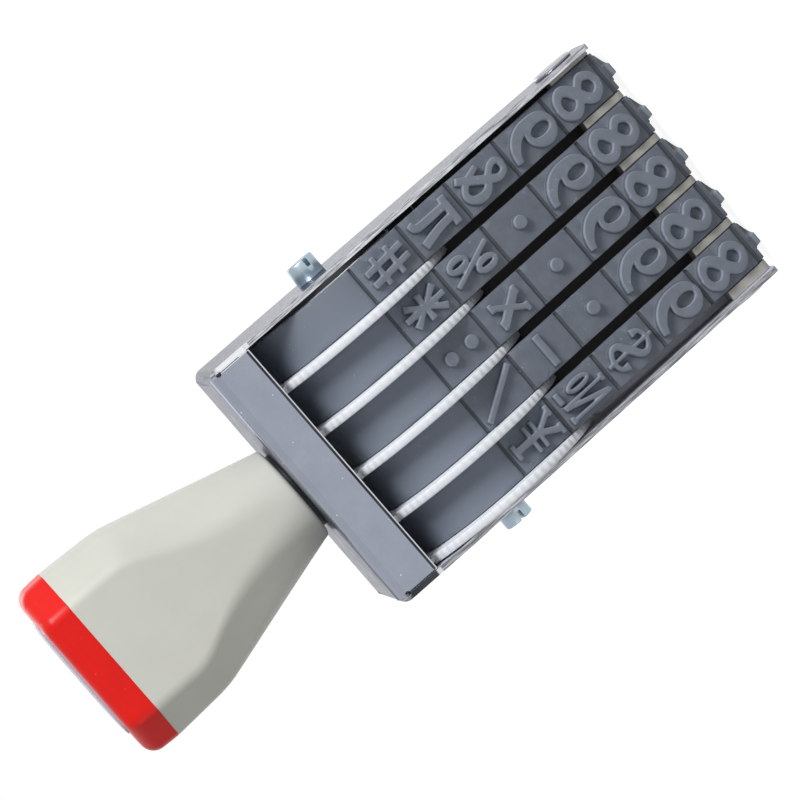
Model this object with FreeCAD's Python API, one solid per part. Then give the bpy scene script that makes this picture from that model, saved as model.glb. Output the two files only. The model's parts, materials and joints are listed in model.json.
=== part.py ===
import FreeCAD, Part
import math
import os

V = FreeCAD.Vector

# Frame of the whole object, in mm: +Z runs up from the print face to the handle, X runs along the
# axle with band 1 at +X, the side with the flange and the visible signs faces -Y. The origin lies in
# the print face, under the middle of the object.

# yoke of bent sheet
YOKE_WIDTH = 50.2            # outside, along X
SHEET = 1.0
YOKE_TOP = 86.8              # upper face of the top plate
YOKE_BOTTOM = 1.4            # free ends of the two side walls
YOKE_DEPTH_TOP = 31.6        # outside, along Y, over the two flanges
YOKE_DEPTH_BOTTOM = 15.6
WALL_SHOULDER = 71.2         # height where the walls start to taper
FLANGE_EDGE = 78.4           # free edge of the flanges
BEND_RADIUS = 1.9            # outside of every bend
WALL_END_RADIUS = 1.6
FLANGE_GAP = 0.15            # slit between a flange and a wall
RELIEF_RADIUS = 0.5
AXLE_HEIGHT = 61.4
SCREW_HOLE_RADIUS = 1.6
PLATE_HOLE_RADIUS = 2.1

# number bands
BAND_WIDTH = 7.75
BELT_THICKNESS = 1.2
RELIEF_HEIGHT = 1.3          # raised characters above the belt
BAND_HALF_FLAT = 3.6         # straight part under the platen, from the middle
BAND_CORNER_RADIUS = 1.8     # of the middle line of the belt
BAND_DRUM_RADIUS = 15.8      # of the middle line of the belt
CELL_PITCH = 11.1            # from one character to the next, along the belt
GROOVE_WIDTH = 0.5
GROOVE_DEPTH = 0.35
GLYPH_HEIGHT = 9.5
GLYPH_WIDTH = 6.0
STROKE = 1.4
BAND_PITCH = 9.4            # from one band to the next, along X
BAND_SIDE_GAP = 0.1          # between a band and the disc beside it

# thumb wheels
DISC_RADIUS = 20.4
DISC_THICKNESS = 1.5
TOOTH_DEPTH = 0.4
TOOTH_COUNT = 80
DRUM_RADIUS = 14.9
DRUM_RECESS_RADIUS = 12.4
HUB_RADIUS = 5.0
DRUM_WEB = 1.6
WHEEL_BORE_RADIUS = 2.56

# axle, screws and washers
AXLE_RADIUS = 2.5
AXLE_END_GAP = 0.05
AXLE_THREAD_RADIUS = 1.5
AXLE_THREAD_DEPTH = 9.0
SCREW_SHANK_RADIUS = 1.45
SCREW_SHANK_LENGTH = 8.6
SCREW_HEAD_RADIUS = 2.7
SCREW_HEAD_HEIGHT = 3.7
SCREW_HEAD_EDGE = 0.25
SLOT_WIDTH = 0.8
SLOT_DEPTH = 1.7
WASHER_LEFT = 0.3
WASHER_RIGHT = 0.75
WASHER_RADIUS_LEFT = 5.5
WASHER_RADIUS_RIGHT = 14.6   # dark fibre disc beside the last drum
WASHER_BORE_RADIUS = 2.6

# platen behind the print face, its spacer plate and its two rivets
PLATEN_GAP = 0.1             # to the belts
PLATEN_TOP = 10.4
PLATEN_FIN_GAP = 0.15        # to the sides of the belts
PLATEN_FIN_SETBACK = 0.35    # of the fins behind the belt faces
PLATEN_END_GAP = 0.05
SPACER_THICKNESS = 1.6       # dark plate that stands on the platen, between the band runs
SPACER_SEAT_DEPTH = 0.8
SPACER_SEAT_GAP = 0.05
SPACER_END_GAP = 0.05        # to the walls
SPACER_TOP_GAP = 0.4         # under the discs
SPACER_CORNER_RADIUS = 1.5
RIVET_HEIGHT = 7.3
RIVET_HEAD_RADIUS = 3.9
RIVET_HEAD_THICKNESS = 0.8
RIVET_HEAD_EDGE = 0.3
RIVET_SHANK_RADIUS = 1.95
RIVET_HOLE_RADIUS = 2.0
RIVET_LENGTH = 7.0
RIVET_POCKET = 7.4

# click spring under the top plate
SPRING_SHEET = 0.35
SPRING_BASE_BACK = -7.0      # rear edge of its base, along Y
SPRING_BASE_LENGTH = 46.0
SPRING_FINGER_WIDTH = 1.3
SPRING_BEHIND_FLANGE = 0.35  # from the flange to the fingers
SPRING_KNEE = 79.2           # height where the fingers turn inward
SPRING_TIP_GAP = 0.35        # from a finger tip to the teeth
SPRING_TIP_ANGLE = 129.0     # place of the tips round the axle, degrees from +Y

# handle
HANDLE_WASHER = 0.5
HANDLE_WASHER_RADIUS = 7.6
NECK_RADIUS = 9.4
NECK_EDGE = 0.6
HANDLE_SHOULDER = 116.8      # height of the kink
HANDLE_TOP = 128.5           # joint to the end cap
HANDLE_WIDTH = 35.0
HANDLE_WIDTH_SHOULDER = 33.8
HANDLE_DEPTH = 25.0
HANDLE_DEPTH_SHOULDER = 24.6
HANDLE_FACE = 22.4           # flat front facet, along X
HANDLE_FLANK = 13.0          # flat side facet, along Y
HANDLE_RIDGE_RADIUS = 2.2    # rounding of the eight ridges
HANDLE_WALL = 2.4
HANDLE_CAVITY_BOTTOM = 114.2
INSERT_RADIUS = 3.6
INSERT_LENGTH = 9.0
INSERT_BORE_RADIUS = 2.0
INSERT_FLANGE_RADIUS = 4.6
INSERT_FLANGE = 1.0
HANDLE_SCREW_RADIUS = 1.95
HANDLE_SCREW_HEAD_RADIUS = 3.7
HANDLE_SCREW_HEAD_HEIGHT = 2.0
HANDLE_SCREW_LENGTH = 9.4

# end cap with its window
CAP_HEIGHT = 5.9
CAP_EDGE_RADIUS = 2.3
CAP_WALL = 2.2
CAP_PLATE = 2.4
CAP_SKIRT_DEPTH = 4.0
CAP_SKIRT_GAP = 0.1
CAP_SKIRT_WALL = 1.4
WINDOW_LENGTH = 24.2
WINDOW_WIDTH = 13.0
WINDOW_CORNER = 3.0
WINDOW_PROUD = 0.7
WINDOW_SEAT_DEPTH = 1.3
WINDOW_GAP = 0.05
WINDOW_EDGE = 0.5
LABEL_THICKNESS = 0.25

# shapes as shares of the sizes above
TOOTH_TIP_share = 0.34

# derived
HALF_WIDTH = YOKE_WIDTH / 2
INSIDE = HALF_WIDTH - SHEET
HALF_DEPTH = YOKE_DEPTH_TOP / 2
BELT_HALF = BELT_THICKNESS / 2
SPACER_HALF = SPACER_THICKNESS / 2
SPACER_BOTTOM = PLATEN_TOP - SPACER_SEAT_DEPTH
NEUTRAL_LOW = RELIEF_HEIGHT + BELT_HALF
CORNER_Z = NEUTRAL_LOW + BAND_CORNER_RADIUS
RUN_SPAN = math.hypot(BAND_HALF_FLAT, AXLE_HEIGHT - CORNER_Z)
RUN_TILT = (math.asin((BAND_DRUM_RADIUS - BAND_CORNER_RADIUS) / RUN_SPAN)
            - math.atan2(BAND_HALF_FLAT, AXLE_HEIGHT - CORNER_Z))
CORNER_ARC = BAND_CORNER_RADIUS * (math.pi / 2 - RUN_TILT)
RUN_LENGTH = math.sqrt(RUN_SPAN ** 2 - (BAND_DRUM_RADIUS - BAND_CORNER_RADIUS) ** 2)
FIRST_DISC = -INSIDE + AXLE_END_GAP + WASHER_LEFT
CAP_TOP = HANDLE_TOP + CAP_HEIGHT
NECK_BOTTOM = YOKE_TOP + HANDLE_WASHER


def box(x0, x1, y0, y1, z0, z1):
    return Part.makeBox(x1 - x0, y1 - y0, z1 - z0, V(x0, y0, z0))


def rod_x(radius, x0, x1, y=0, z=0):
    return Part.makeCylinder(radius, x1 - x0, V(x0, y, z), V(1, 0, 0))


def rod_z(radius, z0, z1, x=0, y=0):
    return Part.makeCylinder(radius, z1 - z0, V(x, y, z0), V(0, 0, 1))


def rod_y(radius, y0, y1, x, z):
    return Part.makeCylinder(radius, y1 - y0, V(x, y0, z), V(0, 1, 0))


def joined(first, others):
    return first.multiFuse(others).removeSplitter() if others else first


def prism_x(points, x0, x1):
    """Solid with the given (y, z) outline between two places on X."""
    wire = Part.makePolygon([V(x0, y, z) for y, z in points + points[:1]])
    return Part.Face(wire).extrude(V(x1 - x0, 0, 0))


def rounded_wire(points, radii, plane):
    """Closed wire with a rounding at every corner; plane turns a pair into a vector."""
    ends = []
    for i, (px, py) in enumerate(points):
        ax, ay = points[i - 1]
        bx, by = points[(i + 1) % len(points)]
        la, lb = math.hypot(ax - px, ay - py), math.hypot(bx - px, by - py)
        ua, ub = ((ax - px) / la, (ay - py) / la), ((bx - px) / lb, (by - py) / lb)
        turn = math.acos(ua[0] * ub[0] + ua[1] * ub[1]) / 2
        cut = radii[i] / math.tan(turn)
        reach = radii[i] / math.sin(turn)
        mid = (ua[0] + ub[0], ua[1] + ub[1])
        lm = math.hypot(*mid)
        top = ((reach - radii[i]) * mid[0] / lm, (reach - radii[i]) * mid[1] / lm)
        ends.append((plane(px + ua[0] * cut, py + ua[1] * cut),
                     plane(px + top[0], py + top[1]),
                     plane(px + ub[0] * cut, py + ub[1] * cut)))
    edges = []
    for i, (a, m, b) in enumerate(ends):
        edges.append(Part.Arc(a, m, b).toShape())
        edges.append(Part.LineSegment(b, ends[(i + 1) % len(ends)][0]).toShape())
    return Part.Wire(edges)


# band path

def band_point(s, off):
    """Place on the belt (y, z) and the outward direction there; s runs from the middle of the
    print face along the front (-Y) side, off is measured outward from the middle line."""
    side = -1 if s >= 0 else 1
    s = abs(s)
    if s <= BAND_HALF_FLAT:
        return side * s, NEUTRAL_LOW - off, 0, -1
    s -= BAND_HALF_FLAT
    if s <= CORNER_ARC:
        a = s / BAND_CORNER_RADIUS
        n, m = math.sin(a), -math.cos(a)
        r = BAND_CORNER_RADIUS + off
        return side * (BAND_HALF_FLAT + r * n), CORNER_Z + r * m, side * n, m
    s -= CORNER_ARC
    n, m = math.cos(RUN_TILT), -math.sin(RUN_TILT)
    y0 = BAND_HALF_FLAT + BAND_CORNER_RADIUS * n
    z0 = CORNER_Z + BAND_CORNER_RADIUS * m
    if s <= RUN_LENGTH:
        return side * (y0 - s * m + off * n), z0 + s * n + off * m, side * n, m
    s -= RUN_LENGTH
    a = s / BAND_DRUM_RADIUS - RUN_TILT
    r = BAND_DRUM_RADIUS + off
    return side * r * math.cos(a), AXLE_HEIGHT + r * math.sin(a), side * math.cos(a), math.sin(a)


def loop_wire(off, x):
    """Closed outline of a belt layer at one place on X."""
    def at(s):
        y, z, n, m = band_point(s, off)
        return V(x, y, z)

    half = BAND_HALF_FLAT
    corner = half + CORNER_ARC
    run = corner + RUN_LENGTH
    top = V(x, 0, AXLE_HEIGHT + BAND_DRUM_RADIUS + off)
    edges = [
        Part.LineSegment(at(-half), at(half)).toShape(),
        Part.Arc(at(half), at(half + CORNER_ARC / 2), at(corner)).toShape(),
        Part.LineSegment(at(corner), at(run)).toShape(),
        Part.Arc(at(run), top, at(-run)).toShape(),
        Part.LineSegment(at(-run), at(-corner)).toShape(),
        Part.Arc(at(-corner), at(-half - CORNER_ARC / 2), at(-half)).toShape()]
    return Part.Wire(Part.__sortEdges__(edges))


def loop_solid(off, x0, x1):
    return Part.Face(loop_wire(off, x0)).extrude(V(x1 - x0, 0, 0))


# characters: u across the band and v along it are shares of the character's width and height,
# w is a share of the stroke, and a dot's last value is its radius as a share of the stroke

def bent(*points):
    return ("bent", points)


def line(*points):
    return ("line", points)


def oval(cu, cv, ru, rv, side, top):
    return ("oval", (cu, cv, ru, rv, side, top))


def dot(u, v):
    return ("dot", (u, v, 0.65))


def arm(u, v):
    return line((u * 0.08, v * 0.08, 0.4), (u, v, 0.95))


CHARACTER_shares = {
    "0": [oval(0, 0, 0.34, 0.43, 1.3, 0.7)],
    "1": [line((0.03, -0.44, 1.2), (0.03, 0.45, 1.2)), line((-0.3, 0.28, 0.6), (0, 0.42, 0.9)),
          line((-0.3, -0.46, 0.6), (0.36, -0.46, 0.6))],
    "2": [bent((-0.36, 0.22, 1.1), (-0.28, 0.37, 0.9), (0, 0.44, 0.7), (0.3, 0.34, 1.1),
               (0.34, 0.17, 1.2), (0.12, -0.06, 1), (-0.2, -0.28, 0.8), (-0.38, -0.4, 0.7)),
          line((-0.42, -0.41, 1.1), (0.42, -0.41, 1.1))],
    "3": [bent((-0.34, 0.28, 0.9), (-0.22, 0.4, 0.8), (0.04, 0.44, 0.7), (0.3, 0.31, 1.1),
               (0.24, 0.12, 1), (0, 0.04, 0.7)),
          bent((0, 0.05, 0.7), (0.28, -0.04, 1), (0.38, -0.22, 1.3), (0.2, -0.4, 1),
               (-0.05, -0.45, 0.7), (-0.3, -0.38, 0.8), (-0.38, -0.26, 1))],
    "4": [line((0.16, -0.47, 1.2), (0.16, 0.46, 1.2)), line((0.14, 0.42, 0.7), (-0.42, -0.16, 0.7)),
          line((-0.46, -0.2, 0.85), (0.46, -0.2, 0.85))],
    "5": [line((-0.3, 0.41, 1), (0.38, 0.41, 1)), line((-0.28, 0.42, 0.7), (-0.32, 0.02, 0.7)),
          bent((-0.32, 0.06, 0.7), (-0.1, 0.14, 0.9), (0.2, 0.1, 1.1), (0.37, -0.12, 1.3),
               (0.26, -0.34, 1.1), (0, -0.44, 0.8), (-0.28, -0.4, 0.8), (-0.38, -0.28, 1))],
    "6": [oval(0, -0.22, 0.35, 0.26, 1.3, 0.6),
          bent((-0.35, -0.2, 1.3), (-0.36, 0, 1.35), (-0.27, 0.19, 1.3), (-0.07, 0.34, 1.2),
               (0.17, 0.43, 0.9), (0.38, 0.46, 0.7))],
    "7": [line((-0.44, 0.41, 1.1), (0.42, 0.41, 1.1)),
          bent((0.38, 0.4, 0.9), (0.14, 0.12, 1.1), (-0.02, -0.14, 1.3), (-0.08, -0.46, 1.4))],
    "8": [bent((0.04, 0.44, 0.65), (-0.22, 0.38, 0.9), (-0.36, 0.23, 1.15), (-0.24, 0.1, 1.25),
               (0, 0, 1.3), (0.27, -0.11, 1.3), (0.39, -0.25, 1.2), (0.25, -0.39, 0.9),
               (-0.04, -0.45, 0.65)),
          bent((0.04, -0.45, 0.65), (-0.25, -0.4, 0.9), (-0.39, -0.25, 1.1), (-0.26, -0.1, 0.9),
               (0, 0, 0.75), (0.24, 0.11, 0.85), (0.35, 0.23, 1), (0.22, 0.38, 0.85),
               (-0.04, 0.44, 0.65))],
    "9": [oval(0, 0.22, 0.35, 0.26, 1.3, 0.6),
          bent((0.35, 0.2, 1.3), (0.36, 0, 1.35), (0.27, -0.19, 1.3), (0.07, -0.34, 1.2),
               (-0.17, -0.43, 0.9), (-0.38, -0.46, 0.7))],
    "dot": [dot(0, 0)],
    "colon": [dot(0, 0.24), dot(0, -0.24)],
    "dash": [line((-0.5, 0, 0.75), (0.5, 0, 0.75))],
    "slash": [line((-0.45, -0.46, 0.6), (0.45, 0.46, 0.6))],
    "times": [line((-0.3, -0.27, 0.95), (0.3, 0.27, 0.95)), line((-0.3, 0.27, 0.6), (0.3, -0.27, 0.6)),
              line((-0.42, -0.28, 0.4), (-0.16, -0.28, 0.4)), line((0.16, 0.28, 0.4), (0.42, 0.28, 0.4)),
              line((-0.42, 0.28, 0.4), (-0.18, 0.28, 0.4)), line((0.18, -0.28, 0.4), (0.42, -0.28, 0.4))],
    "percent": [oval(-0.22, 0.22, 0.15, 0.18, 0.7, 0.5), oval(0.27, -0.22, 0.15, 0.18, 0.7, 0.5),
                line((-0.24, -0.46, 0.5), (0.3, 0.46, 0.5))],
    "star": [line((0, -0.42, 0.8), (0, 0.44, 0.8)), arm(-0.4, 0.02), arm(0.4, 0.02), arm(-0.36, 0.36),
             arm(0.36, 0.36), arm(-0.32, -0.32), arm(0.32, -0.32)],
    "hash": [line((-0.22, -0.42, 0.75), (-0.12, 0.42, 0.75)), line((0.12, -0.42, 0.75), (0.22, 0.42, 0.75)),
             line((-0.44, 0.14, 0.6), (0.44, 0.14, 0.6)), line((-0.44, -0.16, 0.6), (0.44, -0.16, 0.6))],
    "pi": [line((-0.44, 0.32, 0.85), (0.44, 0.34, 0.85)),
           bent((-0.16, 0.32, 0.85), (-0.19, 0, 0.9), (-0.32, -0.42, 1)),
           bent((0.2, 0.32, 0.85), (0.19, -0.1, 0.9), (0.22, -0.36, 0.9), (0.42, -0.42, 0.6))],
    "and": [bent((0.46, -0.44, 0.8), (0.2, -0.2, 1), (-0.1, 0.08, 1), (-0.24, 0.26, 0.8),
                 (-0.14, 0.41, 0.6), (0.08, 0.43, 0.6)),
            bent((0.02, 0.44, 0.6), (0.2, 0.38, 0.7), (0.18, 0.24, 0.7), (-0.04, 0.08, 0.7),
                 (-0.3, -0.06, 0.9), (-0.36, -0.24, 1.1), (-0.24, -0.4, 0.9), (0, -0.44, 0.7),
                 (0.26, -0.28, 0.7), (0.42, 0.02, 0.6))],
    "dollar": [bent((0.34, 0.2, 1.1), (0.24, 0.32, 0.7), (0, 0.37, 0.6), (-0.27, 0.28, 0.8),
                    (-0.28, 0.13, 1.1), (0, 0, 1.2), (0.28, -0.13, 1.1), (0.27, -0.28, 0.8),
                    (0, -0.37, 0.6), (-0.24, -0.32, 0.7), (-0.34, -0.2, 1.1)),
               line((0, -0.5, 0.4), (0, 0.5, 0.4))],
    "number": [line((-0.42, -0.44, 0.45), (-0.42, 0.44, 0.45)), line((-0.4, 0.42, 1), (-0.02, -0.42, 1)),
               line((0, -0.44, 0.5), (0, 0.44, 0.5)), line((-0.5, -0.45, 0.4), (-0.32, -0.45, 0.4)),
               line((-0.1, 0.45, 0.4), (0.1, 0.45, 0.4)), oval(0.3, 0.02, 0.13, 0.2, 0.6, 0.45),
               line((0.14, -0.42, 0.5), (0.48, -0.42, 0.5))],
    "yen": [line((0, -0.44, 0.8), (0, 0.12, 0.8)), line((0, 0.08, 0.8), (-0.3, 0.44, 0.8)),
            line((0, 0.08, 0.55), (0.3, 0.44, 0.55)), line((-0.42, 0.06, 0.4), (0.4, 0.06, 0.4)),
            line((-0.42, -0.07, 0.4), (0.4, -0.07, 0.4)), line((-0.22, -0.46, 0.4), (0.22, -0.46, 0.4)),
            line((-0.46, 0.46, 0.4), (-0.16, 0.46, 0.4)), line((0.16, 0.46, 0.4), (0.46, 0.46, 0.4))],
}

SIGNS = {
    1: ["and", "pi", "hash"],
    2: ["dot", "percent", "star"],
    3: ["dot", "times", "colon"],
    4: ["dot", "dash", "slash"],
    5: ["dollar", "number", "yen"],
}
FRONT_DIGITS = ["8", "9"]
BACK_DIGITS = ["6", "5", "4", "3", "2", "1", "0"]


def offset_line(points, off):
    """The (x, y) points moved to their left by off, with mitred corners."""
    out = []
    for i, (x, y) in enumerate(points):
        around = []
        for j, k in ((i - 1, i), (i, i + 1)):
            if j >= 0 and k < len(points):
                dx, dy = points[k][0] - points[j][0], points[k][1] - points[j][1]
                d = math.hypot(dx, dy)
                around.append((-dy / d, dx / d))
        nx = sum(a[0] for a in around)
        ny = sum(a[1] for a in around)
        d = math.hypot(nx, ny)
        nx, ny = nx / d, ny / d
        stretch = 1 / max(0.5, nx * around[0][0] + ny * around[0][1])
        out.append((x + nx * off * stretch, y + ny * off * stretch))
    return out


def curved(points):
    """A smooth line through the (u, v, w) points, with one more point in each gap."""
    out = [points[0]]
    for i in range(len(points) - 1):
        p0, p3 = points[max(i - 1, 0)], points[min(i + 2, len(points) - 1)]
        p1, p2 = points[i], points[i + 1]
        out.append(tuple((9 * (b + c) - a - d) / 16 for a, b, c, d in zip(p0, p1, p2, p3)))
        out.append(p2)
    return out


def stroke_outline(points):
    """Outline of a stroke through (u, v, width) points, widths changing along it."""
    left, right = [], []
    for i, (u, v, w) in enumerate(points):
        ahead, behind = points[min(i + 1, len(points) - 1)], points[max(i - 1, 0)]
        du, dv = ahead[0] - behind[0], ahead[1] - behind[1]
        d = math.hypot(du, dv)
        left.append((u - dv / d * w / 2, v + du / d * w / 2))
        right.append((u + dv / d * w / 2, v - du / d * w / 2))
    return left + right[::-1]


def ellipse(cu, cv, ru, rv):
    return [(cu + ru * math.cos(a * math.pi / 9), cv + rv * math.sin(a * math.pi / 9))
            for a in range(18)]


def flat(points):
    return Part.Face(Part.makePolygon([V(-u, v, 0) for u, v in points + points[:1]]))


def stroke_faces(name):
    """Flat faces of one character, mirrored as on any stamp: u runs against X, v along the band."""
    faces = []
    for kind, shares in CHARACTER_shares[name]:
        if kind == "dot":
            u, v, r = shares
            faces.append(Part.Face(Part.Wire(Part.makeCircle(
                r * STROKE, V(-u * GLYPH_WIDTH, v * GLYPH_HEIGHT, 0)))))
        elif kind == "oval":
            cu, cv, ru, rv, side, top = shares
            cu, ru, cv, rv = cu * GLYPH_WIDTH, ru * GLYPH_WIDTH, cv * GLYPH_HEIGHT, rv * GLYPH_HEIGHT
            side, top = side * STROKE / 2, top * STROKE / 2
            faces.append(flat(ellipse(cu, cv, ru + side, rv + top)).cut(
                flat(ellipse(cu, cv, ru - side, rv - top))))
        else:
            points = [(u * GLYPH_WIDTH, v * GLYPH_HEIGHT, w * STROKE) for u, v, w in shares]
            faces.append(flat(stroke_outline(curved(points) if kind == "bent" else points)))
    return faces


def character(name, s, x):
    """Raised character on the belt, as a list of solids."""
    y, z, n, m = band_point(s, 0)
    out = V(0, n, m)
    towards = V(0, -m, n)
    sunk = BELT_HALF - GROOVE_DEPTH
    tall = RELIEF_HEIGHT + GROOVE_DEPTH
    on_drum = abs(s) > BAND_HALF_FLAT + CORNER_ARC + RUN_LENGTH - GLYPH_HEIGHT / 2
    if on_drum:
        sunk -= GLYPH_WIDTH / 4
        tall += GLYPH_WIDTH / 4
    place = FreeCAD.Placement(FreeCAD.Matrix(
        -1, towards.x, out.x, x,
        0, towards.y, out.y, y + out.y * sunk,
        0, towards.z, out.z, z + out.z * sunk,
        0, 0, 0, 1))
    solids = []
    for face in stroke_faces(name):
        solid = face.extrude(V(0, 0, tall))
        solid.Placement = place
        if on_drum:
            ring = loop_solid(BELT_HALF + RELIEF_HEIGHT, x - BAND_WIDTH, x + BAND_WIDTH)
            solid = solid.common(ring.cut(loop_solid(0, x - BAND_WIDTH, x + BAND_WIDTH)))
        solids.append(solid)
    return solids


def band_left(number):
    """-X side of a band; band 1 is the one at +X."""
    unit = 5 - number
    return FIRST_DISC + unit * BAND_PITCH + DISC_THICKNESS + BAND_SIDE_GAP


def number_band(number):
    x0 = band_left(number)
    x1 = x0 + BAND_WIDTH
    belt = loop_solid(BELT_HALF, x0, x1).cut(loop_solid(-BELT_HALF, x0, x1))
    grooves = []
    first = -(len(BACK_DIGITS) + 0.5) * CELL_PITCH
    for i in range(len(BACK_DIGITS) + len(FRONT_DIGITS) + 3 + 2):
        y, z, n, m = band_point(first + i * CELL_PITCH, BELT_HALF)
        tool = box(x0, x1, -GROOVE_WIDTH / 2, GROOVE_WIDTH / 2, -GROOVE_DEPTH, GROOVE_DEPTH)
        tool.rotate(V(0, 0, 0), V(1, 0, 0), math.degrees(math.atan2(m, n)) - 90)
        tool.translate(V(0, y, z))
        grooves.append(tool)
    belt = belt.cut(Part.makeCompound(grooves))
    middle = (x0 + x1) / 2
    solids = character("7", 0, middle)
    for i, name in enumerate(FRONT_DIGITS + SIGNS[number]):
        solids += character(name, (i + 1) * CELL_PITCH, middle)
    for i, name in enumerate(BACK_DIGITS):
        solids += character(name, -(i + 1) * CELL_PITCH, middle)
    return joined(belt, solids)


# yoke

def wall_outline():
    top, low = HALF_DEPTH, YOKE_DEPTH_BOTTOM / 2
    points = [(-low, YOKE_BOTTOM), (low, YOKE_BOTTOM), (top, WALL_SHOULDER), (top, YOKE_TOP),
              (-top, YOKE_TOP), (-top, WALL_SHOULDER)]
    radii = [WALL_END_RADIUS, WALL_END_RADIUS, HALF_DEPTH, BEND_RADIUS, BEND_RADIUS, HALF_DEPTH]
    wire = rounded_wire(points, radii, lambda y, z: V(-HALF_WIDTH, y, z))
    return Part.Face(wire).extrude(V(YOKE_WIDTH, 0, 0))


def flange(front):
    """Flange bent down from the top plate, with a slit to each wall."""
    half = INSIDE - FLANGE_GAP
    centre_y, centre_z = HALF_DEPTH - BEND_RADIUS, YOKE_TOP - BEND_RADIUS
    inner = BEND_RADIUS - SHEET

    def arc(radius):
        slant = math.sqrt(0.5)
        return Part.Arc(V(-half, centre_y, centre_z + radius),
                        V(-half, centre_y + radius * slant, centre_z + radius * slant),
                        V(-half, centre_y + radius, centre_z)).toShape()

    def seg(ya, za, yb, zb):
        return Part.LineSegment(V(-half, ya, za), V(-half, yb, zb)).toShape()

    edges = [arc(BEND_RADIUS), seg(HALF_DEPTH, centre_z, HALF_DEPTH, FLANGE_EDGE),
             seg(HALF_DEPTH, FLANGE_EDGE, HALF_DEPTH - SHEET, FLANGE_EDGE),
             seg(HALF_DEPTH - SHEET, FLANGE_EDGE, HALF_DEPTH - SHEET, centre_z), arc(inner),
             seg(centre_y, centre_z + inner, centre_y, YOKE_TOP)]
    face = Part.Face(Part.Wire(Part.__sortEdges__(edges)))
    body = face.extrude(V(2 * half, 0, 0))
    return body.mirror(V(0, 0, 0), V(0, 1, 0)) if front else body


def yoke():
    outer = box(-HALF_WIDTH, HALF_WIDTH, -HALF_DEPTH, HALF_DEPTH, YOKE_BOTTOM, YOKE_TOP)
    ridge = [e for e in outer.Edges
             if all(abs(v.Z - YOKE_TOP) < SHEET / 10 for v in e.Vertexes)
             and abs(e.Vertexes[0].X - e.Vertexes[1].X) < SHEET / 10]
    outer = outer.makeFillet(BEND_RADIUS, ridge)
    inner = box(-INSIDE, INSIDE, -2 * HALF_DEPTH, 2 * HALF_DEPTH, 0, YOKE_TOP - SHEET)
    ridge = [e for e in inner.Edges
             if all(abs(v.Z - YOKE_TOP + SHEET) < SHEET / 10 for v in e.Vertexes)
             and abs(e.Vertexes[0].X - e.Vertexes[1].X) < SHEET / 10]
    inner = inner.makeFillet(BEND_RADIUS - SHEET, ridge)
    body = outer.cut(inner).common(wall_outline())
    body = body.multiFuse([flange(True), flange(False)])
    cuts = [rod_x(SCREW_HOLE_RADIUS, -YOKE_WIDTH, YOKE_WIDTH, 0, AXLE_HEIGHT),
            rod_x(RIVET_HOLE_RADIUS, -YOKE_WIDTH, YOKE_WIDTH, 0, RIVET_HEIGHT),
            rod_z(PLATE_HOLE_RADIUS, FLANGE_EDGE, YOKE_TOP + SHEET)]
    slit_top = YOKE_TOP - BEND_RADIUS
    for side in (-1, 1):
        x0, x1 = sorted((side * (INSIDE - FLANGE_GAP), side * INSIDE))
        for face in (-1, 1):
            y0, y1 = sorted((face * (HALF_DEPTH - BEND_RADIUS), face * (HALF_DEPTH + SHEET)))
            cuts.append(box(x0, x1, y0, y1, FLANGE_EDGE - SHEET, slit_top))
            cuts.append(rod_y(RELIEF_RADIUS, y0, y1, side * (INSIDE - FLANGE_GAP / 2), slit_top))
    return body.cut(Part.makeCompound(cuts)).removeSplitter()


# axle and wheels

def toothed_disc(x0, x1):
    points = []
    step = 2 * math.pi / TOOTH_COUNT
    low = DISC_RADIUS - TOOTH_DEPTH
    for i in range(TOOTH_COUNT):
        for radius, share in ((low, -0.5 + TOOTH_TIP_share / 2), (DISC_RADIUS, -TOOTH_TIP_share / 2),
                              (DISC_RADIUS, TOOTH_TIP_share / 2)):
            a = (i + share) * step
            points.append((radius * math.cos(a), AXLE_HEIGHT + radius * math.sin(a)))
    return prism_x(points, x0, x1)


def thumb_wheel(number):
    x0 = FIRST_DISC + (5 - number) * BAND_PITCH
    face = x0 + DISC_THICKNESS
    end = face + BAND_SIDE_GAP + BAND_WIDTH
    body = joined(toothed_disc(x0, face), [rod_x(DRUM_RADIUS, face, end, 0, AXLE_HEIGHT)])
    recess = rod_x(DRUM_RECESS_RADIUS, face + DRUM_WEB, end, 0, AXLE_HEIGHT)
    recess = recess.cut(rod_x(HUB_RADIUS, face, end, 0, AXLE_HEIGHT))
    bore = rod_x(WHEEL_BORE_RADIUS, x0 - SHEET, end + SHEET, 0, AXLE_HEIGHT)
    return body.cut(Part.makeCompound([recess, bore]))


def axle():
    end = INSIDE - AXLE_END_GAP
    body = rod_x(AXLE_RADIUS, -end, end, 0, AXLE_HEIGHT)
    holes = [rod_x(AXLE_THREAD_RADIUS, -end, -end + AXLE_THREAD_DEPTH, 0, AXLE_HEIGHT),
             rod_x(AXLE_THREAD_RADIUS, end - AXLE_THREAD_DEPTH, end, 0, AXLE_HEIGHT)]
    return body.cut(Part.makeCompound(holes))


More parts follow.
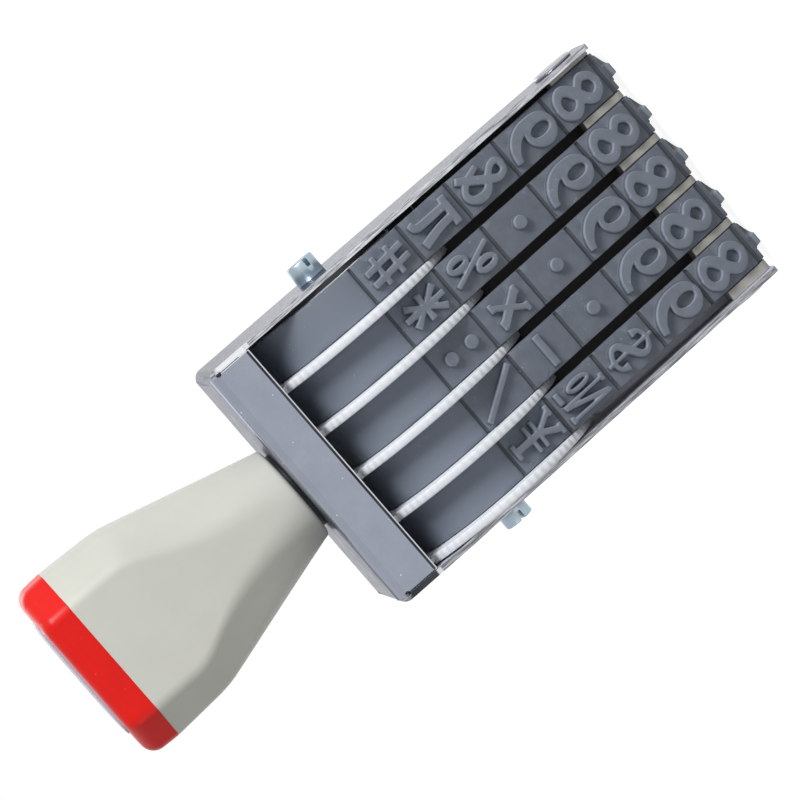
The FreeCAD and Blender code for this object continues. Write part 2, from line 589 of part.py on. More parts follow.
def axle_screw(side):
    """Slotted cheese head screw, drawn for +X and turned round for -X."""
    seat = HALF_WIDTH
    head = rod_x(SCREW_HEAD_RADIUS, seat, seat + SCREW_HEAD_HEIGHT, 0, AXLE_HEIGHT)
    rim = [e for e in head.Edges if abs(e.BoundBox.XMin - seat - SCREW_HEAD_HEIGHT) < SLOT_WIDTH / 10]
    head = head.makeChamfer(SCREW_HEAD_EDGE, rim)
    slot = box(seat + SCREW_HEAD_HEIGHT - SLOT_DEPTH, seat + 2 * SCREW_HEAD_HEIGHT,
               -2 * SCREW_HEAD_RADIUS, 2 * SCREW_HEAD_RADIUS,
               AXLE_HEIGHT - SLOT_WIDTH / 2, AXLE_HEIGHT + SLOT_WIDTH / 2)
    shank = rod_x(SCREW_SHANK_RADIUS, seat - SHEET - SCREW_SHANK_LENGTH, seat, 0, AXLE_HEIGHT)
    body = joined(head, [shank]).cut(slot)
    return body if side > 0 else body.rotate(V(0, 0, AXLE_HEIGHT), V(0, 0, 1), 180)


def thrust_washer(side):
    inner = INSIDE - AXLE_END_GAP
    x0, x1 = (inner - WASHER_RIGHT, inner) if side > 0 else (-inner, -inner + WASHER_LEFT)
    if side > 0:
        x0, x1 = x0 + AXLE_END_GAP, x1 + AXLE_END_GAP
    else:
        x0, x1 = x0 - AXLE_END_GAP, x1 - AXLE_END_GAP
    ring = rod_x(WASHER_RADIUS_RIGHT if side > 0 else WASHER_RADIUS_LEFT, x0, x1, 0, AXLE_HEIGHT)
    return ring.cut(rod_x(WASHER_BORE_RADIUS, x0, x1, 0, AXLE_HEIGHT))


# platen

def platen():
    inside = INSIDE - PLATEN_END_GAP
    core = loop_solid(-BELT_HALF - PLATEN_GAP, -inside, inside)
    fins = []
    edges = [(-inside, band_left(5) - PLATEN_FIN_GAP)]
    for number in (5, 4, 3, 2):
        edges.append((band_left(number) + BAND_WIDTH + PLATEN_FIN_GAP,
                      band_left(number - 1) - PLATEN_FIN_GAP))
    edges.append((band_left(1) + BAND_WIDTH + PLATEN_FIN_GAP, inside))
    for x0, x1 in edges:
        fins.append(loop_solid(BELT_HALF - PLATEN_FIN_SETBACK, x0, x1))
    body = joined(core, fins)
    keep = box(-inside, inside, -HALF_DEPTH, HALF_DEPTH, 0, PLATEN_TOP)
    pockets = [rod_x(RIVET_HOLE_RADIUS, -inside, -inside + RIVET_POCKET, 0, RIVET_HEIGHT),
               rod_x(RIVET_HOLE_RADIUS, inside - RIVET_POCKET, inside, 0, RIVET_HEIGHT),
               box(-inside, inside, -SPACER_HALF - SPACER_SEAT_GAP, SPACER_HALF + SPACER_SEAT_GAP,
                   SPACER_BOTTOM, PLATEN_TOP)]
    return body.common(keep).cut(Part.makeCompound(pockets))


def spacer_plate():
    """Dark plate in the middle of the band loops; it stands in a slot of the platen."""
    inside = INSIDE - SPACER_END_GAP
    top = AXLE_HEIGHT - DISC_RADIUS - SPACER_TOP_GAP
    plate = box(-inside, inside, -SPACER_HALF, SPACER_HALF, SPACER_BOTTOM, top)
    corners = [e for e in plate.Edges
               if e.BoundBox.ZMin > top - SPACER_TOP_GAP and e.BoundBox.XLength < SPACER_TOP_GAP]
    return plate.makeFillet(SPACER_CORNER_RADIUS, corners)


def platen_rivet(side):
    seat = HALF_WIDTH
    head = rod_x(RIVET_HEAD_RADIUS, seat, seat + RIVET_HEAD_THICKNESS, 0, RIVET_HEIGHT)
    rim = [e for e in head.Edges
           if abs(e.BoundBox.XMin - seat - RIVET_HEAD_THICKNESS) < RIVET_HEAD_EDGE / 10]
    head = head.makeFillet(RIVET_HEAD_EDGE, rim)
    shank = rod_x(RIVET_SHANK_RADIUS, seat - SHEET - RIVET_LENGTH, seat, 0, RIVET_HEIGHT)
    body = joined(head, [shank])
    return body if side > 0 else body.rotate(V(0, 0, RIVET_HEIGHT), V(0, 0, 1), 180)


# click spring

def strip_solid(points, thickness, x0, x1):
    """Bent sheet: the (y, z) points are its one face, the sheet lies on their left."""
    other = offset_line(points, thickness)
    return prism_x(points + other[::-1], x0, x1)


def click_spring():
    under = YOKE_TOP - SHEET
    behind = -HALF_DEPTH + SHEET + SPRING_BEHIND_FLANGE
    bend = BEND_RADIUS
    angle = math.radians(SPRING_TIP_ANGLE)
    reach = DISC_RADIUS + SPRING_TIP_GAP
    tip = (reach * math.cos(angle), AXLE_HEIGHT + reach * math.sin(angle))
    points = [(SPRING_BASE_BACK - SPRING_SHEET, under), (behind + bend, under),
              (behind, under - bend), (behind, SPRING_KNEE), tip]
    parts = [box(-SPRING_BASE_LENGTH / 2, SPRING_BASE_LENGTH / 2, behind + bend, SPRING_BASE_BACK,
                 under - SPRING_SHEET, under)]
    for number in range(1, 6):
        middle = band_left(number) - BAND_SIDE_GAP - DISC_THICKNESS / 2
        x0 = max(middle - SPRING_FINGER_WIDTH / 2, -INSIDE + BEND_RADIUS - SHEET + AXLE_END_GAP)
        parts.append(strip_solid(points, SPRING_SHEET, x0, middle + SPRING_FINGER_WIDTH / 2))
    return joined(parts[0], parts[1:])


# handle

def facet_wire(width, depth, face, flank, ridge, z):
    w, d = width / 2, depth / 2
    f, k = face / 2, flank / 2
    points = [(-f, -d), (f, -d), (w, -k), (w, k), (f, d), (-f, d), (-w, k), (-w, -k)]
    return rounded_wire(points, [ridge] * 8, lambda x, y: V(x, y, z))


def neck_wire(radius, z):
    """Near circle with the same number of edges as the faceted section above it."""
    side = radius * math.tan(math.pi / 8)
    points = [(-side, -radius), (side, -radius), (radius, -side), (radius, side),
              (side, radius), (-side, radius), (-radius, side), (-radius, -side)]
    return rounded_wire(points, [radius * 0.96] * 8, lambda x, y: V(x, y, z))


def handle():
    top = facet_wire(HANDLE_WIDTH, HANDLE_DEPTH, HANDLE_FACE, HANDLE_FLANK, HANDLE_RIDGE_RADIUS,
                     HANDLE_TOP)
    kink = facet_wire(HANDLE_WIDTH_SHOULDER, HANDLE_DEPTH_SHOULDER, HANDLE_FACE, HANDLE_FLANK,
                      HANDLE_RIDGE_RADIUS, HANDLE_SHOULDER)
    neck = neck_wire(NECK_RADIUS, NECK_BOTTOM + NECK_EDGE)
    foot = neck_wire(NECK_RADIUS - NECK_EDGE, NECK_BOTTOM)
    body = Part.makeLoft([top, kink], True, True)
    body = joined(body, [Part.makeLoft([kink, neck], True, True),
                         Part.makeLoft([neck, foot], True, True)])
    inset = 2 * HANDLE_WALL
    mouth = facet_wire(HANDLE_WIDTH_SHOULDER - inset, HANDLE_DEPTH_SHOULDER - inset,
                       HANDLE_FACE - HANDLE_WALL, HANDLE_FLANK - HANDLE_WALL,
                       HANDLE_RIDGE_RADIUS, HANDLE_CAVITY_BOTTOM)
    cavity = Part.Face(mouth).extrude(V(0, 0, HANDLE_TOP - HANDLE_CAVITY_BOTTOM + SHEET))
    bore = rod_z(INSERT_RADIUS, NECK_BOTTOM - SHEET, NECK_BOTTOM + INSERT_LENGTH)
    seat = rod_z(INSERT_FLANGE_RADIUS, NECK_BOTTOM - SHEET, NECK_BOTTOM + INSERT_FLANGE)
    return body.cut(Part.makeCompound([cavity, bore.fuse(seat)]))


def handle_insert():
    body = rod_z(INSERT_RADIUS - AXLE_END_GAP, NECK_BOTTOM, NECK_BOTTOM + INSERT_LENGTH - SHEET)
    rim = rod_z(INSERT_FLANGE_RADIUS - AXLE_END_GAP, NECK_BOTTOM,
                NECK_BOTTOM + INSERT_FLANGE - AXLE_END_GAP)
    bore = rod_z(INSERT_BORE_RADIUS, NECK_BOTTOM - SHEET, NECK_BOTTOM + INSERT_LENGTH)
    return joined(body, [rim]).cut(bore)


def handle_washer():
    ring = rod_z(HANDLE_WASHER_RADIUS, YOKE_TOP, YOKE_TOP + HANDLE_WASHER)
    return ring.cut(rod_z(PLATE_HOLE_RADIUS, YOKE_TOP - SHEET, YOKE_TOP + 2 * HANDLE_WASHER))


def handle_screw():
    seat = YOKE_TOP - SHEET
    head = rod_z(HANDLE_SCREW_HEAD_RADIUS, seat - HANDLE_SCREW_HEAD_HEIGHT, seat)
    shank = rod_z(HANDLE_SCREW_RADIUS, seat, seat + HANDLE_SCREW_LENGTH)
    slot = box(-2 * HANDLE_SCREW_HEAD_RADIUS, 2 * HANDLE_SCREW_HEAD_RADIUS,
               -SLOT_WIDTH / 2, SLOT_WIDTH / 2,
               seat - 2 * HANDLE_SCREW_HEAD_HEIGHT, seat - HANDLE_SCREW_HEAD_HEIGHT / 2)
    return joined(head, [shank]).cut(slot)


def window_block(gap, z0, z1):
    half, wide = WINDOW_LENGTH / 2 - gap, WINDOW_WIDTH / 2 - gap
    wire = rounded_wire([(-half, -wide), (half, -wide), (half, wide), (-half, wide)],
                        [WINDOW_CORNER - gap] * 4, lambda x, y: V(x, y, z0))
    return Part.Face(wire).extrude(V(0, 0, z1 - z0))


def end_cap():
    wire = facet_wire(HANDLE_WIDTH, HANDLE_DEPTH, HANDLE_FACE, HANDLE_FLANK, HANDLE_RIDGE_RADIUS,
                      HANDLE_TOP)
    body = Part.Face(wire).extrude(V(0, 0, CAP_HEIGHT))
    rim = [e for e in body.Edges if e.BoundBox.ZMin > CAP_TOP - SHEET / 10]
    body = body.makeFillet(CAP_EDGE_RADIUS, rim)
    inset = 2 * CAP_WALL
    hollow = Part.Face(facet_wire(HANDLE_WIDTH - 3 * inset / 2, HANDLE_DEPTH - 3 * inset / 2,
                                  HANDLE_FACE - 1.5 * CAP_WALL, HANDLE_FLANK - 1.5 * CAP_WALL,
                                  HANDLE_RIDGE_RADIUS, HANDLE_TOP - CAP_SKIRT_DEPTH))
    hollow = hollow.extrude(V(0, 0, CAP_SKIRT_DEPTH + CAP_HEIGHT - CAP_PLATE))
    out = HANDLE_WALL + CAP_SKIRT_GAP
    skirt = Part.Face(facet_wire(HANDLE_WIDTH_SHOULDER - 2 * out, HANDLE_DEPTH_SHOULDER - 2 * out,
                                 HANDLE_FACE - HANDLE_WALL - CAP_SKIRT_GAP,
                                 HANDLE_FLANK - HANDLE_WALL - CAP_SKIRT_GAP,
                                 HANDLE_RIDGE_RADIUS, HANDLE_TOP - CAP_SKIRT_DEPTH))
    skirt = skirt.extrude(V(0, 0, CAP_SKIRT_DEPTH + CAP_WALL))
    seat = window_block(0, CAP_TOP - WINDOW_SEAT_DEPTH, CAP_TOP + SHEET)
    return joined(body, [skirt]).cut(Part.makeCompound([hollow, seat]))


def cap_window():
    body = window_block(WINDOW_GAP, CAP_TOP - WINDOW_SEAT_DEPTH + LABEL_THICKNESS + WINDOW_GAP,
                        CAP_TOP + WINDOW_PROUD)
    rim = [e for e in body.Edges if e.BoundBox.ZMin > CAP_TOP + WINDOW_PROUD - SHEET / 10]
    return body.makeFillet(WINDOW_EDGE, rim)


def index_label():
    return window_block(2 * WINDOW_GAP, CAP_TOP - WINDOW_SEAT_DEPTH,
                        CAP_TOP - WINDOW_SEAT_DEPTH + LABEL_THICKNESS)


def write_parts():
    os.makedirs("parts", exist_ok=True)
    nodes = {
        "yoke": yoke(),
        "platen": platen(),
        "spacer_plate": spacer_plate(),
        "platen_rivet_left": platen_rivet(-1),
        "platen_rivet_right": platen_rivet(1),
        "axle": axle(),
        "axle_screw_left": axle_screw(-1),
        "axle_screw_right": axle_screw(1),
        "thrust_washer_left": thrust_washer(-1),
        "thrust_washer_right": thrust_washer(1),
        "click_spring": click_spring(),
        "handle": handle(),
        "handle_insert": handle_insert(),
        "handle_washer": handle_washer(),
        "handle_screw": handle_screw(),
        "end_cap": end_cap(),
        "cap_window": cap_window(),
        "index_label": index_label(),
    }
    for number in range(1, 6):
        nodes["thumb_wheel_%d" % number] = thumb_wheel(number)
        nodes["number_band_%d" % number] = number_band(number)
    for name, shape in nodes.items():
        solids = shape.Solids
        if len(solids) != 1 or not shape.isValid():
            print("check", name, "solids", len(solids), "valid", shape.isValid())
        b = shape.BoundBox
        print("%-20s x %.1f..%.1f y %.1f..%.1f z %.1f..%.1f" % (
            name, b.XMin, b.XMax, b.YMin, b.YMax, b.ZMin, b.ZMax))
        shape.exportStep("parts/%s.step" % name)


write_parts()
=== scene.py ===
"""Looks of a hand numbering stamp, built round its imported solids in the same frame, in metres."""
import json
import math

import bmesh
import bpy
import numpy as np
from bpy.props import FloatProperty, FloatVectorProperty, IntProperty, PointerProperty
from bpy.types import NodeSocket, Operator, Panel, PropertyGroup
from mathutils import Matrix, Vector
from mathutils.geometry import delaunay_2d_cdt

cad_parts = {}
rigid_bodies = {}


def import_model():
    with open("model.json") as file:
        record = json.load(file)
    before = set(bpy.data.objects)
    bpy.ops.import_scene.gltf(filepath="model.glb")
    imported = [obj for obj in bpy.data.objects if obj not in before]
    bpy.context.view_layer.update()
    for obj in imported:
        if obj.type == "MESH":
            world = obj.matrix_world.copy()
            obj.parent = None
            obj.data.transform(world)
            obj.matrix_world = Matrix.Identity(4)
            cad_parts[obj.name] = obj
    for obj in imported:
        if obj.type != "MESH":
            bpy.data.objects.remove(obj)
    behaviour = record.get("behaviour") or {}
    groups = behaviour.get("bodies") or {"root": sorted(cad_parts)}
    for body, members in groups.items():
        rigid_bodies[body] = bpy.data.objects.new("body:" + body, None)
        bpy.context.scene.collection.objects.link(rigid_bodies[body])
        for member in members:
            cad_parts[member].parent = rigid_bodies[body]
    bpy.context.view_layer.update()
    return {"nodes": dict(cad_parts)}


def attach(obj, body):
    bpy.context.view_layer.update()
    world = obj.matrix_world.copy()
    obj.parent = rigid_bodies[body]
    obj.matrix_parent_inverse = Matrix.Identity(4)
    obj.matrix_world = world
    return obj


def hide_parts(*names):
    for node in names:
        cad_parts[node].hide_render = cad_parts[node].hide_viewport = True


for leftover in list(bpy.data.objects):
    bpy.data.objects.remove(leftover)
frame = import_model()

bl_info = {
    "name": "Hand numbering stamp",
    "version": (1, 0, 0),
    "blender": (4, 5, 0),
    "location": "View3D > Sidebar > Numbering stamp",
    "description": "Builds the yoke, rubber bands, thumb wheels, handle and cap of a numbering stamp",
    "category": "Object",
}

# Lengths in mm, as the solids have them.
MM = 0.001
AXLE_HEIGHT = 61.4
YOKE_HALF = 25.1
BELT_HALF = 0.6
NEUTRAL_LOW = 1.9
HALF_FLAT = 3.6
CORNER_RADIUS = 1.8
DRUM_RADIUS = 15.8
FIRST_DISC = -23.75
BAND_PITCH = 9.4
SIDE_GAP = 0.1
CELLS_BACK = 7
GROOVE_FLOOR = 0.24
GROOVE_EDGE = 0.42
RIVET_HEIGHT = 7.3
SPACER_TOP = 40.3
NECK_BOTTOM = 87.3
SHOULDER = 116.8
GRIP_TOP = 128.5
CAP_TOP = 134.4
FACET_FRONT, FACET_SIDE = 22.4, 13.0

# Strokes of the raised characters. A line or a bent line has points of three numbers: across and
# along, as shares of a character's width and height, and its width there as a share of the stroke.
# An oval has its centre, its radii and the widths of its sides and ends; a dot, its centre and radius.
CHARACTERS = {
    "0": "oval 0 0 .34 .43 1.3 .7",
    "1": ("line .03 -.44 1.2  .03 .45 1.2; line -.3 .28 .6  0 .42 .9; line -.3 -.46 .6  "
          ".36 -.46 .6"),
    "2": ("bent -.36 .22 1.1  -.28 .37 .9  0 .44 .7  .3 .34 1.1  .34 .17 1.2  .12 -.06 1  "
          "-.2 -.28 .8  -.38 -.4 .7; line -.42 -.41 1.1  .42 -.41 1.1"),
    "3": ("bent -.34 .28 .9  -.22 .4 .8  .04 .44 .7  .3 .31 1.1  .24 .12 1  0 .04 .7; "
          "bent 0 .05 .7  .28 -.04 1  .38 -.22 1.3  .2 -.4 1  -.05 -.45 .7  -.3 -.38 .8  "
          "-.38 -.26 1"),
    "4": ("line .16 -.47 1.2  .16 .46 1.2; line .14 .42 .7  -.42 -.16 .7; line -.46 -.2 .85  "
          ".46 -.2 .85"),
    "5": ("line -.3 .41 1  .38 .41 1; line -.28 .42 .7  -.32 .02 .7; bent -.32 .06 .7  "
          "-.1 .14 .9  .2 .1 1.1  .37 -.12 1.3  .26 -.34 1.1  0 -.44 .8  -.28 -.4 .8  "
          "-.38 -.28 1"),
    "6": ("oval 0 -.22 .35 .26 1.3 .6; bent -.35 -.2 1.3  -.36 0 1.35  -.27 .19 1.3  "
          "-.07 .34 1.2  .17 .43 .9  .38 .46 .7"),
    "7": ("line -.44 .41 1.1  .42 .41 1.1; bent .38 .4 .9  .14 .12 1.1  -.02 -.14 1.3  "
          "-.08 -.46 1.4"),
    "8": ("bent .04 .44 .65  -.22 .38 .9  -.36 .23 1.15  -.24 .1 1.25  0 0 1.3  .27 -.11 1.3  "
          ".39 -.25 1.2  .25 -.39 .9  -.04 -.45 .65; bent .04 -.45 .65  -.25 -.4 .9  "
          "-.39 -.25 1.1  -.26 -.1 .9  0 0 .75  .24 .11 .85  .35 .23 1  .22 .38 .85  "
          "-.04 .44 .65"),
    "9": ("oval 0 .22 .35 .26 1.3 .6; bent .35 .2 1.3  .36 0 1.35  .27 -.19 1.3  .07 -.34 1.2  "
          "-.17 -.43 .9  -.38 -.46 .7"),
    "dot": "dot 0 0 .78",
    "colon": "dot 0 .24 .78; dot 0 -.24 .78",
    "dash": "line -.5 0 .75  .5 0 .75",
    "slash": "line -.45 -.46 .6  .45 .46 .6",
    "times": ("line -.3 -.27 .95  .3 .27 .95; line -.3 .27 .6  .3 -.27 .6; line -.42 -.28 .4  "
              "-.16 -.28 .4; line .16 .28 .4  .42 .28 .4; line -.42 .28 .4  -.18 .28 .4; "
              "line .18 -.28 .4  .42 -.28 .4"),
    "percent": ("oval -.22 .22 .15 .18 .7 .5; oval .27 -.22 .15 .18 .7 .5; line -.24 -.46 .5  "
                ".3 .46 .5"),
    "hash": ("line -.23 -.42 .65  -.14 .42 .65; line .14 -.42 .65  .23 .42 .65; line -.44 .15 .5  "
             ".44 .15 .5; line -.44 -.17 .5  .44 -.17 .5"),
    "pi": ("line -.44 .32 .85  .44 .34 .85; bent -.16 .32 .85  -.19 0 .9  -.32 -.42 1; "
           "bent .2 .32 .85  .19 -.1 .9  .22 -.36 .9  .42 -.42 .6"),
    "and": ("bent .46 -.44 .8  .2 -.2 1  -.1 .08 1  -.24 .26 .8  -.14 .41 .6  .08 .43 .6; "
            "bent .02 .44 .6  .2 .38 .7  .18 .24 .7  -.04 .08 .7  -.3 -.06 .9  -.36 -.24 1.1  "
            "-.24 -.4 .9  0 -.44 .7  .26 -.28 .7  .42 .02 .6"),
    "dollar": ("bent .32 .2 .85  .27 .33 .45  0 .39 .4  -.3 .29 .5  -.3 .14 .75  0 0 .9  .3 -.14 .75  "
               ".3 -.29 .5  0 -.39 .4  -.27 -.33 .45  -.32 -.2 .85; line 0 -.5 .3  0 .5 .3"),
    "number": ("line -.43 -.44 .3  -.43 .44 .3; line -.4 .42 .45  -.04 -.42 .45; line 0 -.44 .3  "
               "0 .44 .3; line -.5 -.45 .4  -.32 -.45 .4; line -.1 .45 .4  .1 .45 .4; "
               "oval .31 .04 .12 .22 .45 .38; line .14 -.42 .5  .48 -.42 .5"),
    "yen": ("line 0 -.44 .7  0 .12 .7; line 0 .08 .65  -.3 .44 .65; line 0 .08 .5  .3 .44 .5; "
            "line -.42 .07 .33  .4 .07 .33; line -.42 -.09 .33  .4 -.09 .33; line -.22 -.46 .4  "
            ".22 -.46 .4; line -.46 .46 .4  -.16 .46 .4; line .16 .46 .4  .46 .46 .4"),
    "star": ("line 0 -.42 .6  0 .44 .6; line -.032 .0016 .35  -.4 .02 .75; line .032 .0016 .35  "
             ".4 .02 .75; line -.0288 .0288 .35  -.36 .36 .75; line .0288 .0288 .35  .36 .36 .75; "
             "line -.0256 -.0256 .35  -.32 -.32 .75; line .0256 -.0256 .35  .32 -.32 .75"),
}
DIGITS = "0 1 2 3 4 5 6 7 8 9 "
FRONT = {1: "and pi hash", 2: "dot percent star", 3: "dot times colon", 4: "dot dash slash",
         5: "dollar number yen"}


def length(name, description, default):
    return FloatProperty(name=name, description=description, unit="LENGTH", subtype="DISTANCE",
                         precision=5, default=default)


def colour(name, description, *default):
    return FloatVectorProperty(name=name, description=description, subtype="COLOR", size=3,
                               min=0, max=1, default=default)


class BandSettings(PropertyGroup):
    width: length("Band width", "Width of a rubber band along the axle", 0.00775)
    cell: length("Cell pitch", "Distance from one character to the next along the band", 0.0111)
    character_width: length("Character width", "Width of a raised character", 0.006)
    character_height: length("Character height", "Height of a raised character", 0.0095)
    stroke: length("Stroke", "Width of a plain stroke", 0.0014)
    relief: length("Relief", "Height of the characters above the belt", 0.0013)
    flank: length("Flank", "Width of the sloped side of a character", 0.00034)
    groove: length("Groove depth", "Depth of the groove between two cells", 0.00035)
    rubber: colour("Rubber", "Colour of the belt", 0.120, 0.138, 0.172)
    worn: colour("Worn rubber", "Colour of the faces of the characters", 0.148, 0.168, 0.204)


class WheelSettings(PropertyGroup):
    disc_radius: length("Disc radius", "Outer radius of a thumb wheel's disc", 0.0204)
    disc_thickness: length("Disc thickness", "Thickness of the disc along the axle", 0.0015)
    tooth_depth: length("Tooth depth", "Depth of the fine teeth in the rim", 0.00014)
    teeth: IntProperty(name="Teeth", description="Number of teeth round the rim", default=80, min=12)
    drum_radius: length("Drum radius", "Radius of the drum under the band", 0.0149)
    plastic: colour("Wheel plastic", "Colour of the thumb wheels", 0.80, 0.83, 0.88)


class YokeSettings(PropertyGroup):
    edge: length("Edge rounding", "Rounding of the sheet's cut edges", 0.00014)
    nickel: colour("Plated sheet", "Colour of the bright plated sheet", 0.31, 0.335, 0.40)
    zinc: colour("Zinc", "Colour of the slotted screws", 0.36, 0.44, 0.50)
    cream: colour("Platen plastic", "Colour of the block behind the print face", 0.47, 0.46, 0.42)


class HandleSettings(PropertyGroup):
    neck_radius: length("Neck radius", "Radius of the handle's neck", 0.0094)
    width: length("Width", "Width of the handle's end along X", 0.035)
    depth: length("Depth", "Depth of the handle's end along Y", 0.025)
    plastic: colour("Handle plastic", "Colour of the grip", 0.60, 0.605, 0.545)
    red: colour("Cap plastic", "Colour of the end cap", 0.78, 0.010, 0.006)
    window: colour("Window", "Tint of the clear window in the cap", 0.62, 0.56, 0.68)


class StageSettings(PropertyGroup):
    floor: colour("Floor", "Colour of the plain floor and backdrop", 0.60, 0.60, 0.60)
    key: FloatProperty(name="Key lamp", description="Power of the main lamp", unit="POWER", default=11.2)
    fill: FloatProperty(name="Fill lamp", description="Power of the second lamp", unit="POWER", default=1.2)
    sky: FloatProperty(name="Room light", description="Strength of the even light of the room", default=0.27)


SETTINGS = (("stamp_bands", BandSettings), ("stamp_wheels", WheelSettings), ("stamp_yoke", YokeSettings),
            ("stamp_handle", HandleSettings), ("stamp_stage", StageSettings))


# node trees

class Nodes:
    """Short ways to add nodes to a tree and to join them."""

    def __init__(self, tree):
        self.tree = tree

    def feed(self, socket, value):
        """Links another socket to this one, or sets its value."""
        if isinstance(value, NodeSocket):
            self.tree.links.new(value, socket)
        else:
            socket.default_value = value

    def add(self, kind, sockets=None, **settings):
        made = self.tree.nodes.new(kind)
        for key, value in settings.items():
            setattr(made, key, value)
        for key, value in (sockets or {}).items():
            self.feed(made.inputs[key], value)
        return made

    def maths(self, operation, a, b=0.0, c=0.0):
        return self.add("ShaderNodeMath", {0: a, 1: b, 2: c}, operation=operation).outputs[0]

    def times(self, a, b):
        return self.maths("MULTIPLY", a, b)

    def plus(self, a, b):
        return self.maths("ADD", a, b)

    def minus(self, a, b):
        return self.maths("SUBTRACT", a, b)

    def vector(self, operation, a, b=(0, 0, 0)):
        return self.add("ShaderNodeVectorMath", {0: a, 1: b}, operation=operation).outputs[0]

    def split(self, vector):
        return self.add("ShaderNodeSeparateXYZ", {0: vector}).outputs

    def place(self, kind="Object"):
        return self.add("ShaderNodeTexCoord").outputs[kind]

    def between(self, value, low, high, to_low=0.0, to_high=1.0):
        """Share of the way from low to high, kept in its range."""
        return self.add("ShaderNodeMapRange", {0: value, 1: low, 2: high, 3: to_low, 4: to_high}).outputs[0]

    def inside(self, value, low, full, still, high):
        """1 from full to still, falling to 0 at low and at high."""
        return self.times(self.between(value, low, full), self.between(value, high, still))

    def mix(self, share, a, b):
        """Colour between a and b."""
        a, b = (c if isinstance(c, NodeSocket) else (*c, 1) for c in (a, b))
        return self.add("ShaderNodeMix", {0: share, 6: a, 7: b}, data_type="RGBA").outputs[2]

    def layers(self, base, *coats):
        """The base colour with each (share, colour) laid over it in turn."""
        for share, coat in coats:
            base = self.mix(share, base, coat)
        return base

    def noise(self, where, scale, detail, roughness=0.5):
        return self.add("ShaderNodeTexNoise", {"Vector": where, "Scale": scale, "Detail": detail,
                                               "Roughness": roughness}).outputs[0]

    def use(self, build, *values):
        """Outputs of a shared group, with its inputs set in their order."""
        return self.add("ShaderNodeGroup", dict(enumerate(values)), node_tree=shared_tree(build)).outputs

    def seen_directly(self):
        """1 for rays from the camera and for rays seen in gloss or through glass."""
        rays = self.add("ShaderNodeLightPath").outputs
        return self.maths("MAXIMUM", rays["Is Camera Ray"],
                          self.maths("MAXIMUM", rays["Is Glossy Ray"], rays["Is Transmission Ray"]))


class Skin(Nodes):
    """A new material with its colour and roughness kept at hand."""

    def __init__(self, name):
        self.material = bpy.data.materials.new(name)
        self.material.use_nodes = True
        super().__init__(self.material.node_tree)
        self.shader = self.tree.nodes["Principled BSDF"].inputs

    def paint(self, base, rough=None):
        self.base = base
        self.feed(self.shader["Base Color"], base)
        if rough is not None:
            self.rough = rough
            self.feed(self.shader["Roughness"], rough)

    def bump(self, height, strength, distance):
        made = self.add("ShaderNodeBump", {"Height": height, "Strength": strength, "Distance": distance})
        self.feed(self.shader["Normal"], made.outputs[0])


def mould_grain(n, grain, blotch):
    """Grain and slow blotches of a moulded surface."""
    where = n.place()
    return n.noise(where, grain, 3.0, 0.62), n.between(n.noise(where, blotch, 4.0, 0.55), 0.32, 0.68)


def fine_scratches(n, stretch, amount):
    """Short fine scratches that run mostly one way."""
    where = n.place()
    streak = n.noise(n.vector("MULTIPLY", where, stretch), 1.0, 4.0, 0.7)
    seen = n.times(n.between(streak, 0.56, 0.70), n.between(n.noise(where, 260.0, 2.0), 0.42, 0.62))
    return n.times(streak, amount), n.times(seen, amount)


def dust_specks(n, density, reach):
    """Small pale specks."""
    where = n.place()
    cells = n.add("ShaderNodeTexVoronoi", {"Vector": where, "Scale": density}).outputs[0]
    patch = n.between(n.noise(where, 420.0, 1.0), 0.5, 0.7)
    return [n.maths("LESS_THAN", cells, n.times(reach, patch))]


def dressed(n, shape, skin):
    """The shape as real mesh with its material."""
    real = n.add("GeometryNodeRealizeInstances", {0: shape}).outputs[0]
    return [n.add("GeometryNodeSetMaterial", {"Geometry": real, "Material": skin}).outputs[0]]


def belt_wrap(n, strip, path, loop, place, skin):
    """Lays a flat strip (x across, y along, z up) on a closed path in the YZ plane."""
    curve = n.add("GeometryNodeObjectInfo", {"Object": path}, transform_space="ORIGINAL").outputs["Geometry"]
    x, y, z = n.split(n.add("GeometryNodeInputPosition").outputs[0])
    along = n.maths("WRAP", y, loop)
    sample = n.add("GeometryNodeSampleCurve", {"Curves": curve, "Length": along}, mode="LENGTH").outputs
    normal = n.vector("CROSS_PRODUCT", (1.0, 0.0, 0.0), n.vector("NORMALIZE", sample["Tangent"]))
    lifted = n.add("ShaderNodeVectorMath", {0: normal, "Scale": z}, operation="SCALE").outputs[0]
    side = n.add("ShaderNodeCombineXYZ", {0: n.plus(x, place)}).outputs[0]
    spot = n.vector("ADD", n.vector("ADD", sample["Position"], lifted), side)
    laid = n.add("GeometryNodeSetPosition", {"Geometry": strip, "Position": spot}).outputs[0]
    sewn = n.add("GeometryNodeMergeByDistance", {"Geometry": laid, "Distance": 2e-6}).outputs[0]
    return dressed(n, sewn, skin)


